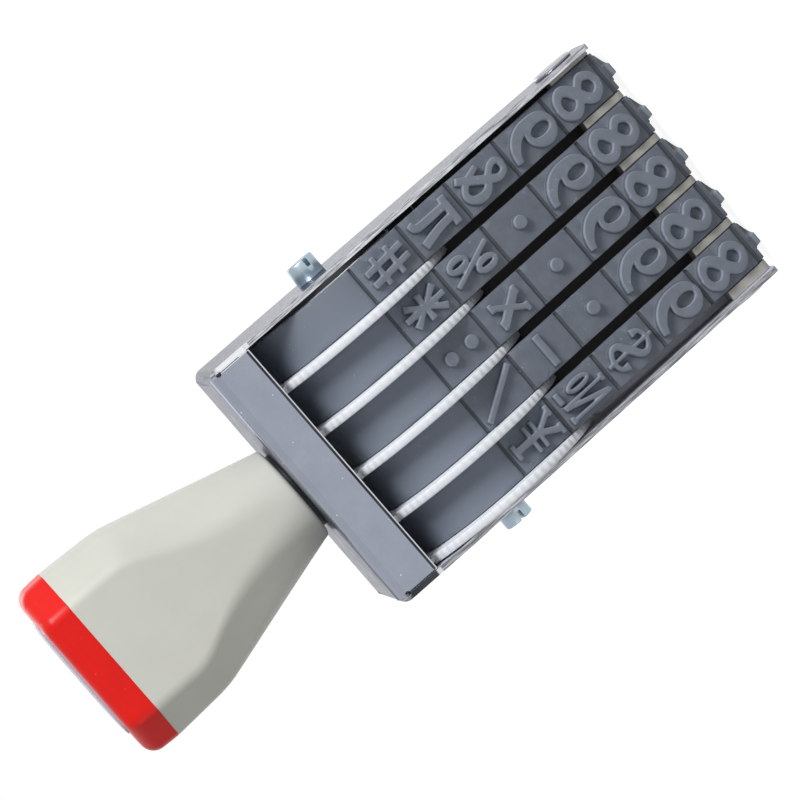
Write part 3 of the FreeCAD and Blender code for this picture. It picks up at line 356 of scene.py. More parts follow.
def turned_part(n, outline, count, steps, teeth, depth, root, tip, centre, slotted, slot_at, slot_size, skin):
    """Turns an outline about an axis along X, with fine teeth and a slot where they are asked for."""
    guide = n.add("GeometryNodeObjectInfo", {"Object": outline},
                  transform_space="ORIGINAL").outputs["Geometry"]
    grid = n.add("GeometryNodeMeshGrid", {"Size X": 1.0, "Size Y": 1.0, "Vertices X": count,
                                          "Vertices Y": n.plus(steps, 1.0)}).outputs[0]
    position = n.add("GeometryNodeInputPosition").outputs[0]
    across, round_axis, _ = n.split(position)
    index = n.maths("ROUND", n.times(n.plus(across, 0.5), n.minus(count, 1.0)))
    turn = n.plus(round_axis, 0.5)
    x, radius, _ = n.split(n.add(
        "GeometryNodeSampleIndex", {"Geometry": guide, "Value": position, "Index": index},
        data_type="FLOAT_VECTOR", domain="POINT").outputs[0])
    phase = n.maths("FRACT", n.plus(n.times(turn, teeth), 0.5))
    ramp = n.maths("ABSOLUTE", n.minus(n.times(phase, 2.0), 1.0))
    tooth = n.add("ShaderNodeMapRange", {0: ramp, 1: 0.15, 2: 0.85, 3: 0.0, 4: 1.0},
                  interpolation_type="SMOOTHSTEP").outputs[0]
    radius = n.minus(radius, n.times(n.times(tooth, depth), n.between(radius, root, tip)))
    angle = n.times(turn, 2 * math.pi)
    place = n.add("ShaderNodeCombineXYZ", {0: x, 1: n.times(radius, n.maths("COSINE", angle)),
                                           2: n.times(radius, n.maths("SINE", angle))}).outputs[0]
    laid = n.add("GeometryNodeSetPosition", {"Geometry": grid, "Position": n.vector("ADD", place, centre)})
    sewn = n.add("GeometryNodeMergeByDistance", {"Geometry": laid.outputs[0], "Distance": 1e-6}).outputs[0]
    cutter = n.add("GeometryNodeMeshCube", {"Size": slot_size}).outputs[0]
    cutter = n.add("GeometryNodeTransform", {"Geometry": cutter, "Translation": slot_at}).outputs[0]
    milled = n.add("GeometryNodeMeshBoolean", {"Mesh 1": sewn, "Mesh 2": cutter},
                   operation="DIFFERENCE", solver="EXACT").outputs[0]
    chosen = n.add("GeometryNodeSwitch", {"Switch": slotted, "False": sewn, "True": milled},
                   input_type="GEOMETRY").outputs[0]
    return dressed(n, chosen, skin)


# name of each shared tree, its inputs and its outputs
SHARED = {
    mould_grain: ("Mould grain", {"Grain size": "Float", "Blotch size": "Float"},
                  {"Height": "Float", "Blotch": "Float"}),
    fine_scratches: ("Fine scratches", {"Stretch": "Vector", "Amount": "Float"},
                     {"Height": "Float", "Streak": "Float"}),
    dust_specks: ("Dust specks", {"Density": "Float", "Reach": "Float"}, {"Speck": "Float"}),
    belt_wrap: ("Wrap on belt path", {
        "Strip": "Geometry", "Path": "Object", "Loop length": "Float", "Place on axle": "Float",
        "Material": "Material"}, {"Geometry": "Geometry"}),
    turned_part: ("Turned part", {
        "Outline": "Object", "Outline points": "Int", "Steps": "Int", "Teeth": "Int", "Tooth depth": "Float",
        "Tooth root": "Float", "Tooth tip": "Float", "Centre": "Vector", "Slotted": "Bool",
        "Slot place": "Vector", "Slot size": "Vector", "Material": "Material"}, {"Geometry": "Geometry"}),
}


def shared_tree(build):
    """The tree that a function fills from its inputs, made once."""
    name, inputs, outputs = SHARED[build]
    if name not in bpy.data.node_groups:
        kind = "GeometryNodeTree" if "Geometry" in outputs else "ShaderNodeTree"
        n = Nodes(bpy.data.node_groups.new(name, kind))
        for way, sockets in (("INPUT", inputs), ("OUTPUT", outputs)):
            for label, socket in sockets.items():
                n.tree.interface.new_socket(label, in_out=way, socket_type="NodeSocket" + socket)
        start, end = n.add("NodeGroupInput"), n.add("NodeGroupOutput")
        for socket, value in zip(end.inputs, build(n, *start.outputs[:len(inputs)])):
            n.feed(socket, value)
    return bpy.data.node_groups[name]


def fed(piece, build, values):
    """Adds a shared tree to the piece, with its inputs set by their identifiers."""
    tree = shared_tree(build)
    modifier = piece.modifiers.new(tree.name, "NODES")
    modifier.node_group = tree
    for item in tree.interface.items_tree:
        if item.in_out == "INPUT" and item.name in values:
            modifier[item.identifier] = values[item.name]


# finishes

def scaled(tone, share):
    return tuple(c * share for c in tone)


def moulded_plastic(name, tone, roughness, grain=2600.0, depth=0.00001, tint=0.06, specks=0.1, scratch=0.25):
    """Moulded plastic with grain, slow blotches, dust and a few handling scratches."""
    skin = Skin(name)
    mould, blotch = skin.use(mould_grain, grain, 160.0)
    marks, streak = skin.use(fine_scratches, (900.0, 900.0, 5200.0), scratch)
    speck = skin.use(dust_specks, 1100.0, specks)[0]
    skin.paint(skin.layers(
        skin.mix(blotch, scaled(tone, 1 - tint), tone),
        (skin.times(streak, 0.25), [min(1, c * 1.15 + 0.02) for c in tone]),
        (skin.times(speck, 0.35), (0.75, 0.74, 0.72))),
        skin.plus(skin.between(mould, 0.3, 0.7, roughness - 0.04, roughness + 0.05),
                  skin.times(streak, 0.12)))
    skin.bump(skin.plus(mould, skin.times(marks, 0.4)), 0.35, depth)
    return skin


def bright_metal(name, tone, roughness, stretch, wave=0.00002, spread=0.08, specks=0.08):
    """Bare or plated metal with a polish direction, faint waves and tiny pits."""
    skin = Skin(name)
    polish, streak = skin.use(fine_scratches, stretch, 1.0)
    mould, blotch = skin.use(mould_grain, 95.0, 240.0)
    pit = skin.use(dust_specks, 1500.0, specks)[0]
    rough = skin.between(polish, 0.3, 0.7, roughness - spread / 2, roughness + spread / 2)
    skin.paint(skin.layers(skin.mix(blotch, scaled(tone, 0.92), tone),
                           (skin.times(pit, 0.5), scaled(tone, 0.45))),
               skin.plus(rough, skin.times(streak, 0.1)))
    skin.shader["Metallic"].default_value = 1.0
    skin.bump(skin.plus(mould, skin.times(polish, 0.05)), 0.5, wave)
    return skin


def plated_sheet(tone):
    """Bright plated sheet with painted reflections: the top, the outer sides and the inner sides each get a
    painted shade of their own, and the walls' cut edges and the flange's lower lip get painted dark and
    bright lines.
    """
    skin = bright_metal("bright_plated_sheet", tone, 0.17, (300.0, 300.0, 5000.0), 0.00006, 0.10, 0.1)
    x, y, z = skin.split(skin.place())
    nx, ny, nz = skin.split(skin.place("Normal"))
    facing_out = skin.times(nx, skin.maths("SIGN", x))
    inner = skin.between(facing_out, -0.5, -0.8)
    width, depth, endwise = (skin.maths("ABSOLUTE", value) for value in (x, y, ny))
    streaks = skin.noise(skin.vector("MULTIPLY", skin.place(), (3800.0, 900.0, 170.0)), 1.0, 5.0, 0.65)
    # right is 1 on the +X side. The walls' cut edges get painted reflections: dark streaks on the -X wall,
    # bright streaks on the +X wall.
    right = skin.between(x, -0.001, 0.001)
    minus_x_edge_painted_dark = skin.mix(skin.between(streaks, 0.42, 0.66), (0.12, 0.125, 0.135), (0.52, 0.53, 0.56))
    bright = skin.mix(skin.between(streaks, 0.40, 0.60), (0.17, 0.175, 0.19), (0.62, 0.64, 0.67))
    painted_light_beside_flange = skin.mix(right, (0.015, 0.016, 0.018), (0.80, 0.81, 0.83))
    cut_edge_painted_light = skin.layers(
        skin.mix(right, minus_x_edge_painted_dark, bright),
        # above the flange's edge the -X cut edge is painted near black and the +X one bright, painted
        # reflections
        (skin.inside(z, 0.0786, 0.0790, 0.0845, 0.0853), painted_light_beside_flange),
        # a thin band just below the flange's edge is painted pale, a painted glint
        (skin.inside(z, 0.0778, 0.0780, 0.0787, 0.0789), (0.70, 0.71, 0.73)))
    on_wall = skin.times(skin.between(endwise, 0.5, 0.85), skin.between(width, 0.02375, 0.0239))
    lip = skin.times(skin.between(depth, 0.0146, 0.0148), skin.between(width, 0.0239, 0.02375))
    speck = skin.use(dust_specks, 620.0, 0.10)[0]
    skin.paint(skin.layers(
        skin.base,
        # painted reflection: the top faces are painted lighter
        (skin.between(nz, 0.5, 0.9), (0.36, 0.375, 0.435)),
        # painted reflection: the outward sides of the walls are painted lighter still
        (skin.between(facing_out, 0.5, 0.8), (0.47, 0.49, 0.54)),
        # painted reflection: the inner sides are painted pale lavender, and are also made rougher and less
        # metallic
        (inner, (0.70, 0.71, 0.80)),
        # painted reflections on the walls' cut edges
        (on_wall, cut_edge_painted_light),
        # painted shadow line along the flange's lower lip, with a painted highlight below it
        (skin.times(lip, skin.inside(z, 0.07858, 0.07862, 0.0790, 0.07905)), (0.012, 0.013, 0.016)),
        (skin.times(lip, skin.between(z, 0.07860, 0.07856)), (0.62, 0.63, 0.66)),
        (skin.between(skin.noise(skin.place(), 70.0, 3.0), 0.42, 0.62, 0.0, 0.16), (0.24, 0.27, 0.31)),
        (skin.times(speck, 0.7), (0.72, 0.73, 0.74))),
        skin.plus(skin.rough, skin.times(inner, 0.4)))
    skin.feed(skin.shader["Metallic"], skin.between(inner, 0.0, 1.0, 1.0, 0.25))
    skin.shader["Specular Tint"].default_value = (0.32, 0.33, 0.37, 1)
    return skin


def band_rubber(settings):
    """Powdery moulded rubber: worn pale faces, darker belt, pale flash along some edges, and painted light: a
    lighter belt onto the drum, painted shade at the characters' feet and in the grooves, painted highlights
    along their edges.
    """
    skin = Skin("band_rubber")
    mould, blotch = skin.use(mould_grain, 4200.0, 420.0)
    speck = skin.use(dust_specks, 1500.0, 0.15)[0]
    relief, rim, groove = (skin.add("ShaderNodeAttribute", attribute_name=label).outputs["Fac"]
                           for label in ("relief", "rim", "groove"))
    belt, worn = settings.rubber, settings.worn
    flash = skin.times(rim, skin.between(skin.noise(skin.place(), 340.0, 5.0, 0.7), 0.60, 0.68))
    skin.paint(skin.layers(
        skin.mix(blotch, scaled(belt, 0.86), scaled(belt, 1.10)),
        # painted light: the belt is lighter from 52 to 60 mm high, where it runs onto the drum
        (skin.between(skin.split(skin.place())[2], 0.052, 0.060), scaled(belt, 1.34)),
        # painted shade at the foot of the characters' flanks
        (skin.times(skin.inside(relief, 0.17, 0.30, 0.45, 0.80), 0.55), scaled(belt, 0.45)),
        # painted shade in the grooves between the cells
        (skin.between(groove, 0.0, 0.30, 0.0, 0.92), scaled(belt, 0.34)),
        (skin.between(relief, 0.88, 0.97), skin.mix(blotch, scaled(worn, 0.96), scaled(worn, 1.16))),
        # painted highlight along the upper edges of the characters
        (skin.times(skin.inside(relief, 0.50, 0.72, 0.95, 0.995), 0.75), scaled(worn, 1.9)),
        (skin.times(flash, 0.7), (0.42, 0.43, 0.45)),
        (skin.times(speck, 0.5), (0.5, 0.51, 0.53))),
        skin.between(mould, 0.3, 0.7, 0.50, 0.66))
    skin.bump(mould, 0.5, 0.00003)
    return skin


def clear_window(tone):
    """Clear tinted plastic, slightly scuffed."""
    skin = Skin("window_plastic")
    mould, blotch = skin.use(mould_grain, 1500.0, 200.0)
    streak = skin.use(fine_scratches, (6000.0, 900.0, 900.0), 0.5)[1]
    skin.paint(skin.mix(blotch, scaled(tone, 0.94), tone),
               skin.plus(skin.between(mould, 0.3, 0.7, 0.20, 0.30), skin.times(streak, 0.2)))
    skin.bump(mould, 0.2, 0.00001)
    skin.shader["Transmission Weight"].default_value = 0.25
    skin.shader["IOR"].default_value = 1.46
    return skin


def label_paper():
    """Plain label paper with fibres."""
    skin = Skin("label_paper")
    fibre, streak = skin.use(fine_scratches, (5200.0, 2400.0, 900.0), 1.0)
    mould, blotch = skin.use(mould_grain, 3600.0, 300.0)
    base = skin.mix(blotch, (0.76, 0.74, 0.69), (0.82, 0.80, 0.76))
    skin.paint(skin.mix(skin.times(streak, 0.4), base, (0.62, 0.60, 0.55)),
               skin.between(fibre, 0.3, 0.7, 0.78, 0.92))
    skin.bump(mould, 0.4, 0.00002)
    return skin


# meshes

def in_metres(point):
    return tuple(c * MM for c in point)


def placed(name, data):
    made = bpy.data.objects.new(name, data)
    bpy.context.scene.collection.objects.link(made)
    return made


def mesh_object(name, vertices, faces, skin=None):
    """Object from points in mm; its place is in its mesh."""
    mesh = bpy.data.meshes.new(name)
    mesh.from_pydata([in_metres(point) for point in vertices], [], faces)
    mesh.update()
    if skin:
        mesh.materials.append(skin.material)
    return placed(name, mesh)


def settled(piece):
    """The piece with its modifiers turned into plain mesh."""
    graph = bpy.context.evaluated_depsgraph_get()
    mesh = bpy.data.meshes.new_from_object(piece.evaluated_get(graph), depsgraph=graph)
    old = piece.data
    piece.modifiers.clear()
    piece.data = mesh
    mesh.name = piece.name
    bpy.data.meshes.remove(old)
    return piece


def merged(source, target, distance, flat=False, outward=False):
    """Writes the source mesh with its doubles merged, and its flat faces joined or all turned outward."""
    work = bmesh.new()
    work.from_mesh(source)
    bmesh.ops.remove_doubles(work, verts=work.verts, dist=distance)
    if flat:
        bmesh.ops.dissolve_limit(work, angle_limit=math.radians(1.0), verts=work.verts, edges=work.edges)
    if outward:
        bmesh.ops.recalc_face_normals(work, faces=work.faces)
    work.to_mesh(target)
    work.free()


def turned_outward(piece):
    merged(piece.data, piece.data, 1e-7, outward=True)


def smoothed(piece, crease):
    piece.data.shade_smooth()
    piece.data.set_sharp_from_angle(angle=math.radians(crease))


def bevelled(piece, edge, segments):
    bevel = piece.modifiers.new("edge", "BEVEL")
    bevel.width = edge
    bevel.segments = segments
    bevel.limit_method = "ANGLE"
    bevel.angle_limit = math.radians(40)
    return bevel


def flat_faced(piece):
    """Shades the broad faces flat up to their rounded edges."""
    weighted = piece.modifiers.new("flat faces", "WEIGHTED_NORMAL")
    weighted.mode = "FACE_AREA"
    weighted.keep_sharp = True
    settled(piece)


def finished(piece, node, body="stamp_body"):
    """The piece rides on its body and stands for the node, which it hides."""
    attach(piece, body)
    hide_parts(node)


def carried(skin, *nodes):
    """Gives its finish to solids that stay as they are."""
    for node in nodes:
        frame["nodes"][node].material_slots[0].material = skin.material


def softened_copy(name, node, edge, skin, segments=3):
    """Copy of a node with its flat faces joined again and its edges rounded."""
    mesh = bpy.data.meshes.new(name)
    merged(frame["nodes"][node].data, mesh, 1e-6, flat=True)
    mesh.materials.clear()
    mesh.materials.append(skin.material)
    made = placed(name, mesh)
    bevel = bevelled(made, edge, segments)
    bevel.harden_normals = True
    bevel.miter_outer = "MITER_ARC"
    smoothed(made, 40.0)
    return settled(made)


def lofted(name, skin, *runs, close_first=False, crease=50.0):
    """A shell from runs of equally large closed rings, each run closed at its last ring."""
    vertices, faces = [], []
    for rings in runs:
        start, count = len(vertices), len(rings[0])
        for k in range(len(rings) - 1):
            a, b = start + k * count, start + (k + 1) * count
            faces += [(a + i, a + (i + 1) % count, b + (i + 1) % count, b + i) for i in range(count)]
        if close_first:
            faces.append(tuple(start + i for i in reversed(range(count))))
        faces.append(tuple(start + (len(rings) - 1) * count + i for i in range(count)))
        vertices += [point for ring in rings for point in ring]
    piece = mesh_object(name, vertices, faces, skin)
    turned_outward(piece)
    smoothed(piece, crease)
    return piece


def turned_piece(name, outline, skin, centre, steps=64, edge=0.0, crease=40.0, **more):
    """A part turned about X from (x, radius) points in mm."""
    guide = mesh_object(name + "_outline", [(x, r, 0) for x, r in outline], [])
    piece = mesh_object(name, [(0, 0, 0)], [])
    fed(piece, turned_part, {"Outline": guide, "Outline points": len(outline), "Steps": steps,
                             "Centre": in_metres(centre), "Material": skin.material, **more})
    if edge:
        bevelled(piece, edge * MM, 2)
    settled(piece)
    turned_outward(piece)
    smoothed(piece, crease)
    bpy.data.objects.remove(guide)
    return piece


# rubber bands

CORNER_HEIGHT = NEUTRAL_LOW + CORNER_RADIUS
RUN_SPAN = math.hypot(HALF_FLAT, AXLE_HEIGHT - CORNER_HEIGHT)
RUN_TILT = (math.asin((DRUM_RADIUS - CORNER_RADIUS) / RUN_SPAN)
            - math.atan2(HALF_FLAT, AXLE_HEIGHT - CORNER_HEIGHT))
CORNER_END = HALF_FLAT + CORNER_RADIUS * (math.pi / 2 - RUN_TILT)
RUN_END = CORNER_END + math.sqrt(RUN_SPAN ** 2 - (DRUM_RADIUS - CORNER_RADIUS) ** 2)
LOOP = 2 * (RUN_END + DRUM_RADIUS * (math.pi / 2 + RUN_TILT))
STROKE_FILLET = 0.22


def belt_point(s):
    """Place (y, z) on the belt's middle line; s runs from the print face up the front."""
    side, s = -1 if s >= 0 else 1, abs(s)
    if s <= HALF_FLAT:
        return side * s, NEUTRAL_LOW
    if s <= CORNER_END:
        a = (s - HALF_FLAT) / CORNER_RADIUS
        return side * (HALF_FLAT + CORNER_RADIUS * math.sin(a)), CORNER_HEIGHT - CORNER_RADIUS * math.cos(a)
    if s <= RUN_END:
        n, m, t = math.cos(RUN_TILT), -math.sin(RUN_TILT), s - CORNER_END
        return side * (HALF_FLAT + CORNER_RADIUS * n - t * m), CORNER_HEIGHT + CORNER_RADIUS * m + t * n
    a = (s - RUN_END) / DRUM_RADIUS - RUN_TILT
    return side * DRUM_RADIUS * math.cos(a), AXLE_HEIGHT + DRUM_RADIUS * math.sin(a)


def belt_path():
    """Closed curve of the belt's middle line from the middle of the print face, and its length."""
    ends = [0, HALF_FLAT, CORNER_END, RUN_END, LOOP - RUN_END, LOOP - CORNER_END, LOOP - HALF_FLAT, LOOP]
    marks = []
    for low, high, step in zip(ends, ends[1:], (0.5, 0.1, 0.8, 0.3, 0.8, 0.1, 0.5)):
        count = max(1, round((high - low) / step))
        marks += [low + (high - low) * i / count for i in range(count)]
    points = [belt_point(s if s <= LOOP / 2 else s - LOOP) for s in marks]
    curve = bpy.data.curves.new("belt_path", "CURVE")
    curve.dimensions = "3D"
    spline = curve.splines.new("POLY")
    spline.points.add(len(points) - 1)
    for point, (y, z) in zip(spline.points, points):
        point.co = (0, y * MM, z * MM, 1)
    spline.use_cyclic_u = True
    return placed("belt_path", curve), sum(math.dist(points[i - 1], points[i]) for i in range(len(points)))


def smooth_line(points):
    """A line through the (u, v, width) points, with three more points in each gap."""
    out = [points[0]]
    for i in range(len(points) - 1):
        near = points[max(i - 1, 0)], points[i], points[i + 1], points[min(i + 2, len(points) - 1)]
        for t in (0.25, 0.5, 0.75):
            out.append(tuple(0.5 * (2 * b + (c - a) * t + (2 * a - 5 * b + 4 * c - d) * t * t
                                    + (3 * b - a - 3 * c + d) * t ** 3) for a, b, c, d in zip(*near)))
        out.append(points[i + 1])
    return out


def stroke_outline(points):
    left, right = [], []
    for i, (u, v, w) in enumerate(points):
        ahead, behind = points[min(i + 1, len(points) - 1)], points[max(i - 1, 0)]
        du, dv = ahead[0] - behind[0], ahead[1] - behind[1]
        d = math.hypot(du, dv)
        left.append((u - dv / d * w / 2, v + du / d * w / 2))
        right.append((u + dv / d * w / 2, v - du / d * w / 2))
    return left + right[::-1]


def oval_outline(cu, cv, ru, rv):
    return [(cu + ru * math.cos(a * math.pi / 24), cv + rv * math.sin(a * math.pi / 24)) for a in range(48)]


def outline_distance(spots, outline):
    """Signed distance of the spots from a closed outline, below zero inside."""
    corners = np.array(outline)
    best = np.full(len(spots), 1e9)
    winding = np.zeros(len(spots))
    for p, q in zip(corners, np.roll(corners, -1, axis=0)):
        edge = q - p
        size = edge @ edge
        if size < 1e-12:
            continue
        rel = spots - p
        gap = rel - np.clip(rel @ edge / size, 0, 1)[:, None] * edge
        best = np.minimum(best, (gap ** 2).sum(axis=1))
        cross = edge[0] * rel[:, 1] - edge[1] * rel[:, 0]
        up = (p[1] <= spots[:, 1]) & (q[1] > spots[:, 1]) & (cross > 0)
        down = (p[1] > spots[:, 1]) & (q[1] <= spots[:, 1]) & (cross < 0)
        winding += up.astype(float) - down.astype(float)
    return np.where(winding != 0, -np.sqrt(best), np.sqrt(best))


def soft_union(a, b, reach):
    """The nearer of two distances, with the inner corner between them filled."""
    h = np.clip(0.5 + 0.5 * (b - a) / reach, 0, 1)
    return b * (1 - h) + a * h - reach * h * (1 - h)


def character_field(sign, sizes, us, vs):
    """Distance from the edge of a character's face, on a grid of places across and along."""
    wide, high, stroke = sizes
    grid = np.array([(u, v) for u in us for v in vs])
    field = np.full(len(grid), 9.0)
    for words in CHARACTERS[sign].split(";"):
        kind, *numbers = words.split()
        shares = [float(number) for number in numbers]
        if kind == "dot":
            u, v, r = shares
            part = np.hypot(grid[:, 0] - u * wide, grid[:, 1] - v * high) - r * stroke
        elif kind == "oval":
            cu, cv, ru, rv, side, end = (share * size for share, size in zip(
                shares, (wide, high, wide, high, stroke / 2, stroke / 2)))
            part = np.maximum(outline_distance(grid, oval_outline(cu, cv, ru + side, rv + end)),
                              -outline_distance(grid, oval_outline(cu, cv, ru - side, rv - end)))
        else:
            points = [(u * wide, v * high, w * stroke)
                      for u, v, w in zip(shares[::3], shares[1::3], shares[2::3])]
            part = outline_distance(grid, stroke_outline(smooth_line(points) if kind == "bent" else points))
        field = soft_union(field, part, STROKE_FILLET)
    return field.reshape(len(us), len(vs))


# which sides of a grid square a level line joins, for each way its corners can lie inside
SEGMENTS = {1: ((3, 0),), 2: ((0, 1),), 3: ((3, 1),), 4: ((1, 2),), 5: ((3, 2), (0, 1)), 6: ((0, 2),),
            7: ((3, 2),), 8: ((2, 3),), 9: ((0, 2),), 10: ((0, 3), (1, 2)), 11: ((1, 2),), 12: ((1, 3),),
            13: ((0, 1),), 14: ((3, 0),)}


def level_lines(field, us, vs, level):
    """Closed lines along which the field has one value."""
    inside = (field < level).astype(int)
    code = inside[:-1, :-1] + 2 * inside[1:, :-1] + 4 * inside[1:, 1:] + 8 * inside[:-1, 1:]
    links, place = {}, {}

    def crossing(i, j, side):
        key = ((i, j, 0), (i + 1, j, 1), (i, j + 1, 0), (i, j, 1))[side]
        if key not in place:
            x, y, way = key
            x2, y2 = (x + 1, y) if way == 0 else (x, y + 1)
            t = (level - field[x, y]) / (field[x2, y2] - field[x, y])
            place[key] = (us[x] + t * (us[x2] - us[x]), vs[y] + t * (vs[y2] - vs[y]))
        return key

    for i, j in zip(*np.nonzero((code > 0) & (code < 15))):
        for one, two in SEGMENTS[int(code[i, j])]:
            a, b = crossing(i, j, one), crossing(i, j, two)
            links.setdefault(a, []).append(b)
            links.setdefault(b, []).append(a)
    lines, seen = [], set()
    for first in links:
        line, last, now = [], None, first
        while now not in seen:
            seen.add(now)
            line.append(place[now])
            ahead = [k for k in links[now] if k != last]
            last, now = now, ahead[0] if ahead else first
        if len(line) > 5:
            lines.append(line)
    return lines


def thinned(line, slack, reach):
    """The closed line without points that lie nearly between their neighbours."""
    kept, skipped = [line[0]], []
    for i in range(1, len(line)):
        (ax, ay), (bx, by) = kept[-1], line[(i + 1) % len(line)]
        dx, dy = bx - ax, by - ay
        d = math.hypot(dx, dy) or 1e-9
        skipped.append(line[i])
        if d > reach or max(abs((px - ax) * dy - (py - ay) * dx) / d for px, py in skipped) > slack:
            kept.append(line[i])
            skipped = []
    return kept


def character_lines(sign, sizes, levels):
    """Level lines of a character, full and thinned, and a function that gives the distance anywhere."""
    us, vs = np.linspace(-3.95, 3.95, 66), np.linspace(-5.4, 5.4, 90)
    field = character_field(sign, sizes, us, vs)

    def distance(u, v):
        x, y = (min(max((value - row[0]) / (row[1] - row[0]), 0), len(row) - 1.001)
                for value, row in ((u, us), (v, vs)))
        i, j = int(x), int(y)
        x, y = x - i, y - j
        return (field[i, j] * (1 - x) * (1 - y) + field[i + 1, j] * x * (1 - y)
                + field[i, j + 1] * (1 - x) * y + field[i + 1, j + 1] * x * y)

    return [(height, thinned(line, 0.012, 0.8), line)
            for level, height in levels for line in level_lines(field, us, vs, level)], distance


def face_height(d, levels):
    """Height of the outer face at a distance from a character's edge."""
    if d <= levels[0][0]:
        return levels[0][1]
    for (d0, h0), (d1, h1) in zip(levels, levels[1:]):
        if d <= d1:
            return h0 + (h1 - h0) * (d - d0) / (d1 - d0)
    return levels[-1][1]


def cell_patch(rows, columns, middle, lines, distance, levels):
    """Triangles of one cell's outer face with its raised character, as (u, s, height) points."""
    low, high, edge = rows[0], rows[-1], columns[-1]
    points = [Vector(spot) for spot in (
        [(u, low) for u in columns] + [(edge, s) for s in rows[1:]]
        + [(u, high) for u in reversed(columns[:-1])] + [(-edge, s) for s in reversed(rows[1:-1])])]
    heights = [BELT_HALF] * len(points)
    edges = [(i, (i + 1) % len(points)) for i in range(len(points))]
    bends = [s for s in rows[1:-1]
             if HALF_FLAT - 0.3 < abs(s) < CORNER_END + 0.3 or abs(s) > RUN_END - 0.5]
    for height, thin, full in lines:
        line = full if bends else thin
        start = len(points)
        points += [Vector((max(-edge + 0.03, min(edge - 0.03, u)),
                           max(low + 0.03, min(high - 0.03, middle - v)))) for u, v in line]
        heights += [height] * len(line)
        edges += [(start + i, start + (i + 1) % len(line)) for i in range(len(line))]
    for s in bends:
        for u in columns[1:-1]:
            d = distance(u, middle - s)
            if min(abs(d - level) for level, _ in levels) > 0.07:
                points.append(Vector((u, s)))
                heights.append(face_height(d, levels))
    spots, _, faces, origin, _, _ = delaunay_2d_cdt(points, edges, [], 0, 1e-5)
    return [(u, s, heights[ids[0]] if ids else face_height(distance(u, middle - s), levels))
            for (u, s), ids in zip(spots, origin)], [tuple(face) for face in faces]


def strip_mesh(name, number, settings, lines, levels):
    """Flat strip of one band: belt with grooves and one raised character in each cell."""
    pitch, half, groove = settings.cell / MM, settings.width / MM / 2, settings.groove / MM
    signs = (DIGITS + FRONT[number]).split()
    first = -(CELLS_BACK + 0.5) * pitch
    tail, end = first + len(signs) * pitch, first + LOOP

    rows, cells = [], []
    for i, sign in enumerate(signs):
        b0, b1 = first + i * pitch, first + (i + 1) * pitch
        spots = [b0 + GROOVE_EDGE]
        while spots[-1] < b1 - GROOVE_EDGE - 0.15:
            bend = HALF_FLAT - 0.5 < abs(spots[-1]) < CORNER_END + 0.2
            spots.append(min(spots[-1] + (0.28 if bend else 0.555), b1 - GROOVE_EDGE))
        spots[-1] = b1 - GROOVE_EDGE
        start = len(rows) + 2
        rows += [(b0, 1), (b0 + GROOVE_FLOOR, 1)] + [(s, 0) for s in spots] + [(b1 - GROOVE_FLOOR, 1)]
        cells.append((start, start + len(spots) - 1, (b0 + b1) / 2, sign))
    bare = end - tail - 0.6
    count = round(bare / 0.6)
    rows += [(tail, 1), (tail + 0.15, 1), (tail + 0.30, 0)]
    rows += [(tail + 0.30 + bare * k / count, 0) for k in range(1, count + 1)]
    rows += [(end - 0.15, 1), (end, 1)]

    # The section runs round the belt: across, height, share of the groove's depth, pale flash.
    flat = half - 0.16
    columns = [-flat + 2 * flat * k / 10 for k in range(11)]
    right = [(half - 0.05, BELT_HALF - 0.05, 0.8, 1.0), (half, BELT_HALF - 0.17, 0.4, 1.0),
             (half, 0.1, 0, 0.0), (half, -BELT_HALF + 0.2, 0, 0.0),
             (half - 0.07, -BELT_HALF + 0.05, 0, 0.0)]
    section = ([(u, BELT_HALF, 1.0, 0.0) for u in columns] + right
               + [(half - 0.25 - (2 * half - 0.5) * k / 3, -BELT_HALF, 0, 0.0) for k in range(4)]
               + [(-u, *rest) for u, *rest in reversed(right)])
    size = len(section)
    rng = np.random.default_rng(40 + number)
    wander = {side: np.convolve(rng.random(len(rows) + 8), np.ones(5) / 5, "same")[4:-4] for side in (-1, 1)}
    for side in (-1, 1):
        wander[side][-1] = wander[side][0]
    verts, marks = [], {"rim": [], "relief": [], "groove": []}
    for r, (s, dip) in enumerate(rows):
        for u, h, share, rim in section:
            side, pull = 1 if u > 0 else -1, 0.0
            if abs(u) > flat + 1e-6 and h > -BELT_HALF + 1e-6:
                pull = 0.10 * wander[side][r] + 0.08 * dip * share
            verts.append((u - side * pull, s, h - groove * dip * share))
            marks["rim"].append(rim)
            marks["relief"].append(0.12 if h > 0 else 0.0)
            marks["groove"].append(dip * share)

    faces = []
    raised = {r for start, stop, *_ in cells for r in range(start, stop)}
    for r in range(len(rows) - 1):
        a, b = r * size, (r + 1) * size
        faces += [(a + c, a + (c + 1) % size, b + (c + 1) % size, b + c)
                  for c in range(size) if r not in raised or c >= len(columns) - 1]
    for start, stop, middle, sign in cells:
        spots = [s for s, dip in rows[start:stop + 1]]
        patch, triangles = cell_patch(spots, columns, middle, *lines[sign], levels)
        faces += [tuple(len(verts) + k for k in triangle) for triangle in triangles]
        verts += patch
        marks["rim"] += [0.0] * len(patch)
        marks["groove"] += [0.0] * len(patch)
        marks["relief"] += [0.15 + 0.85 * max(0, min(1, (h - BELT_HALF) / (levels[0][1] - BELT_HALF)))
                            for u, s, h in patch]
    made = mesh_object(name, verts, faces)
    for label, values in marks.items():
        made.data.attributes.new(label, "FLOAT", "POINT").data.foreach_set("value", values)
    merged(made.data, made.data, 2e-7)
    return made


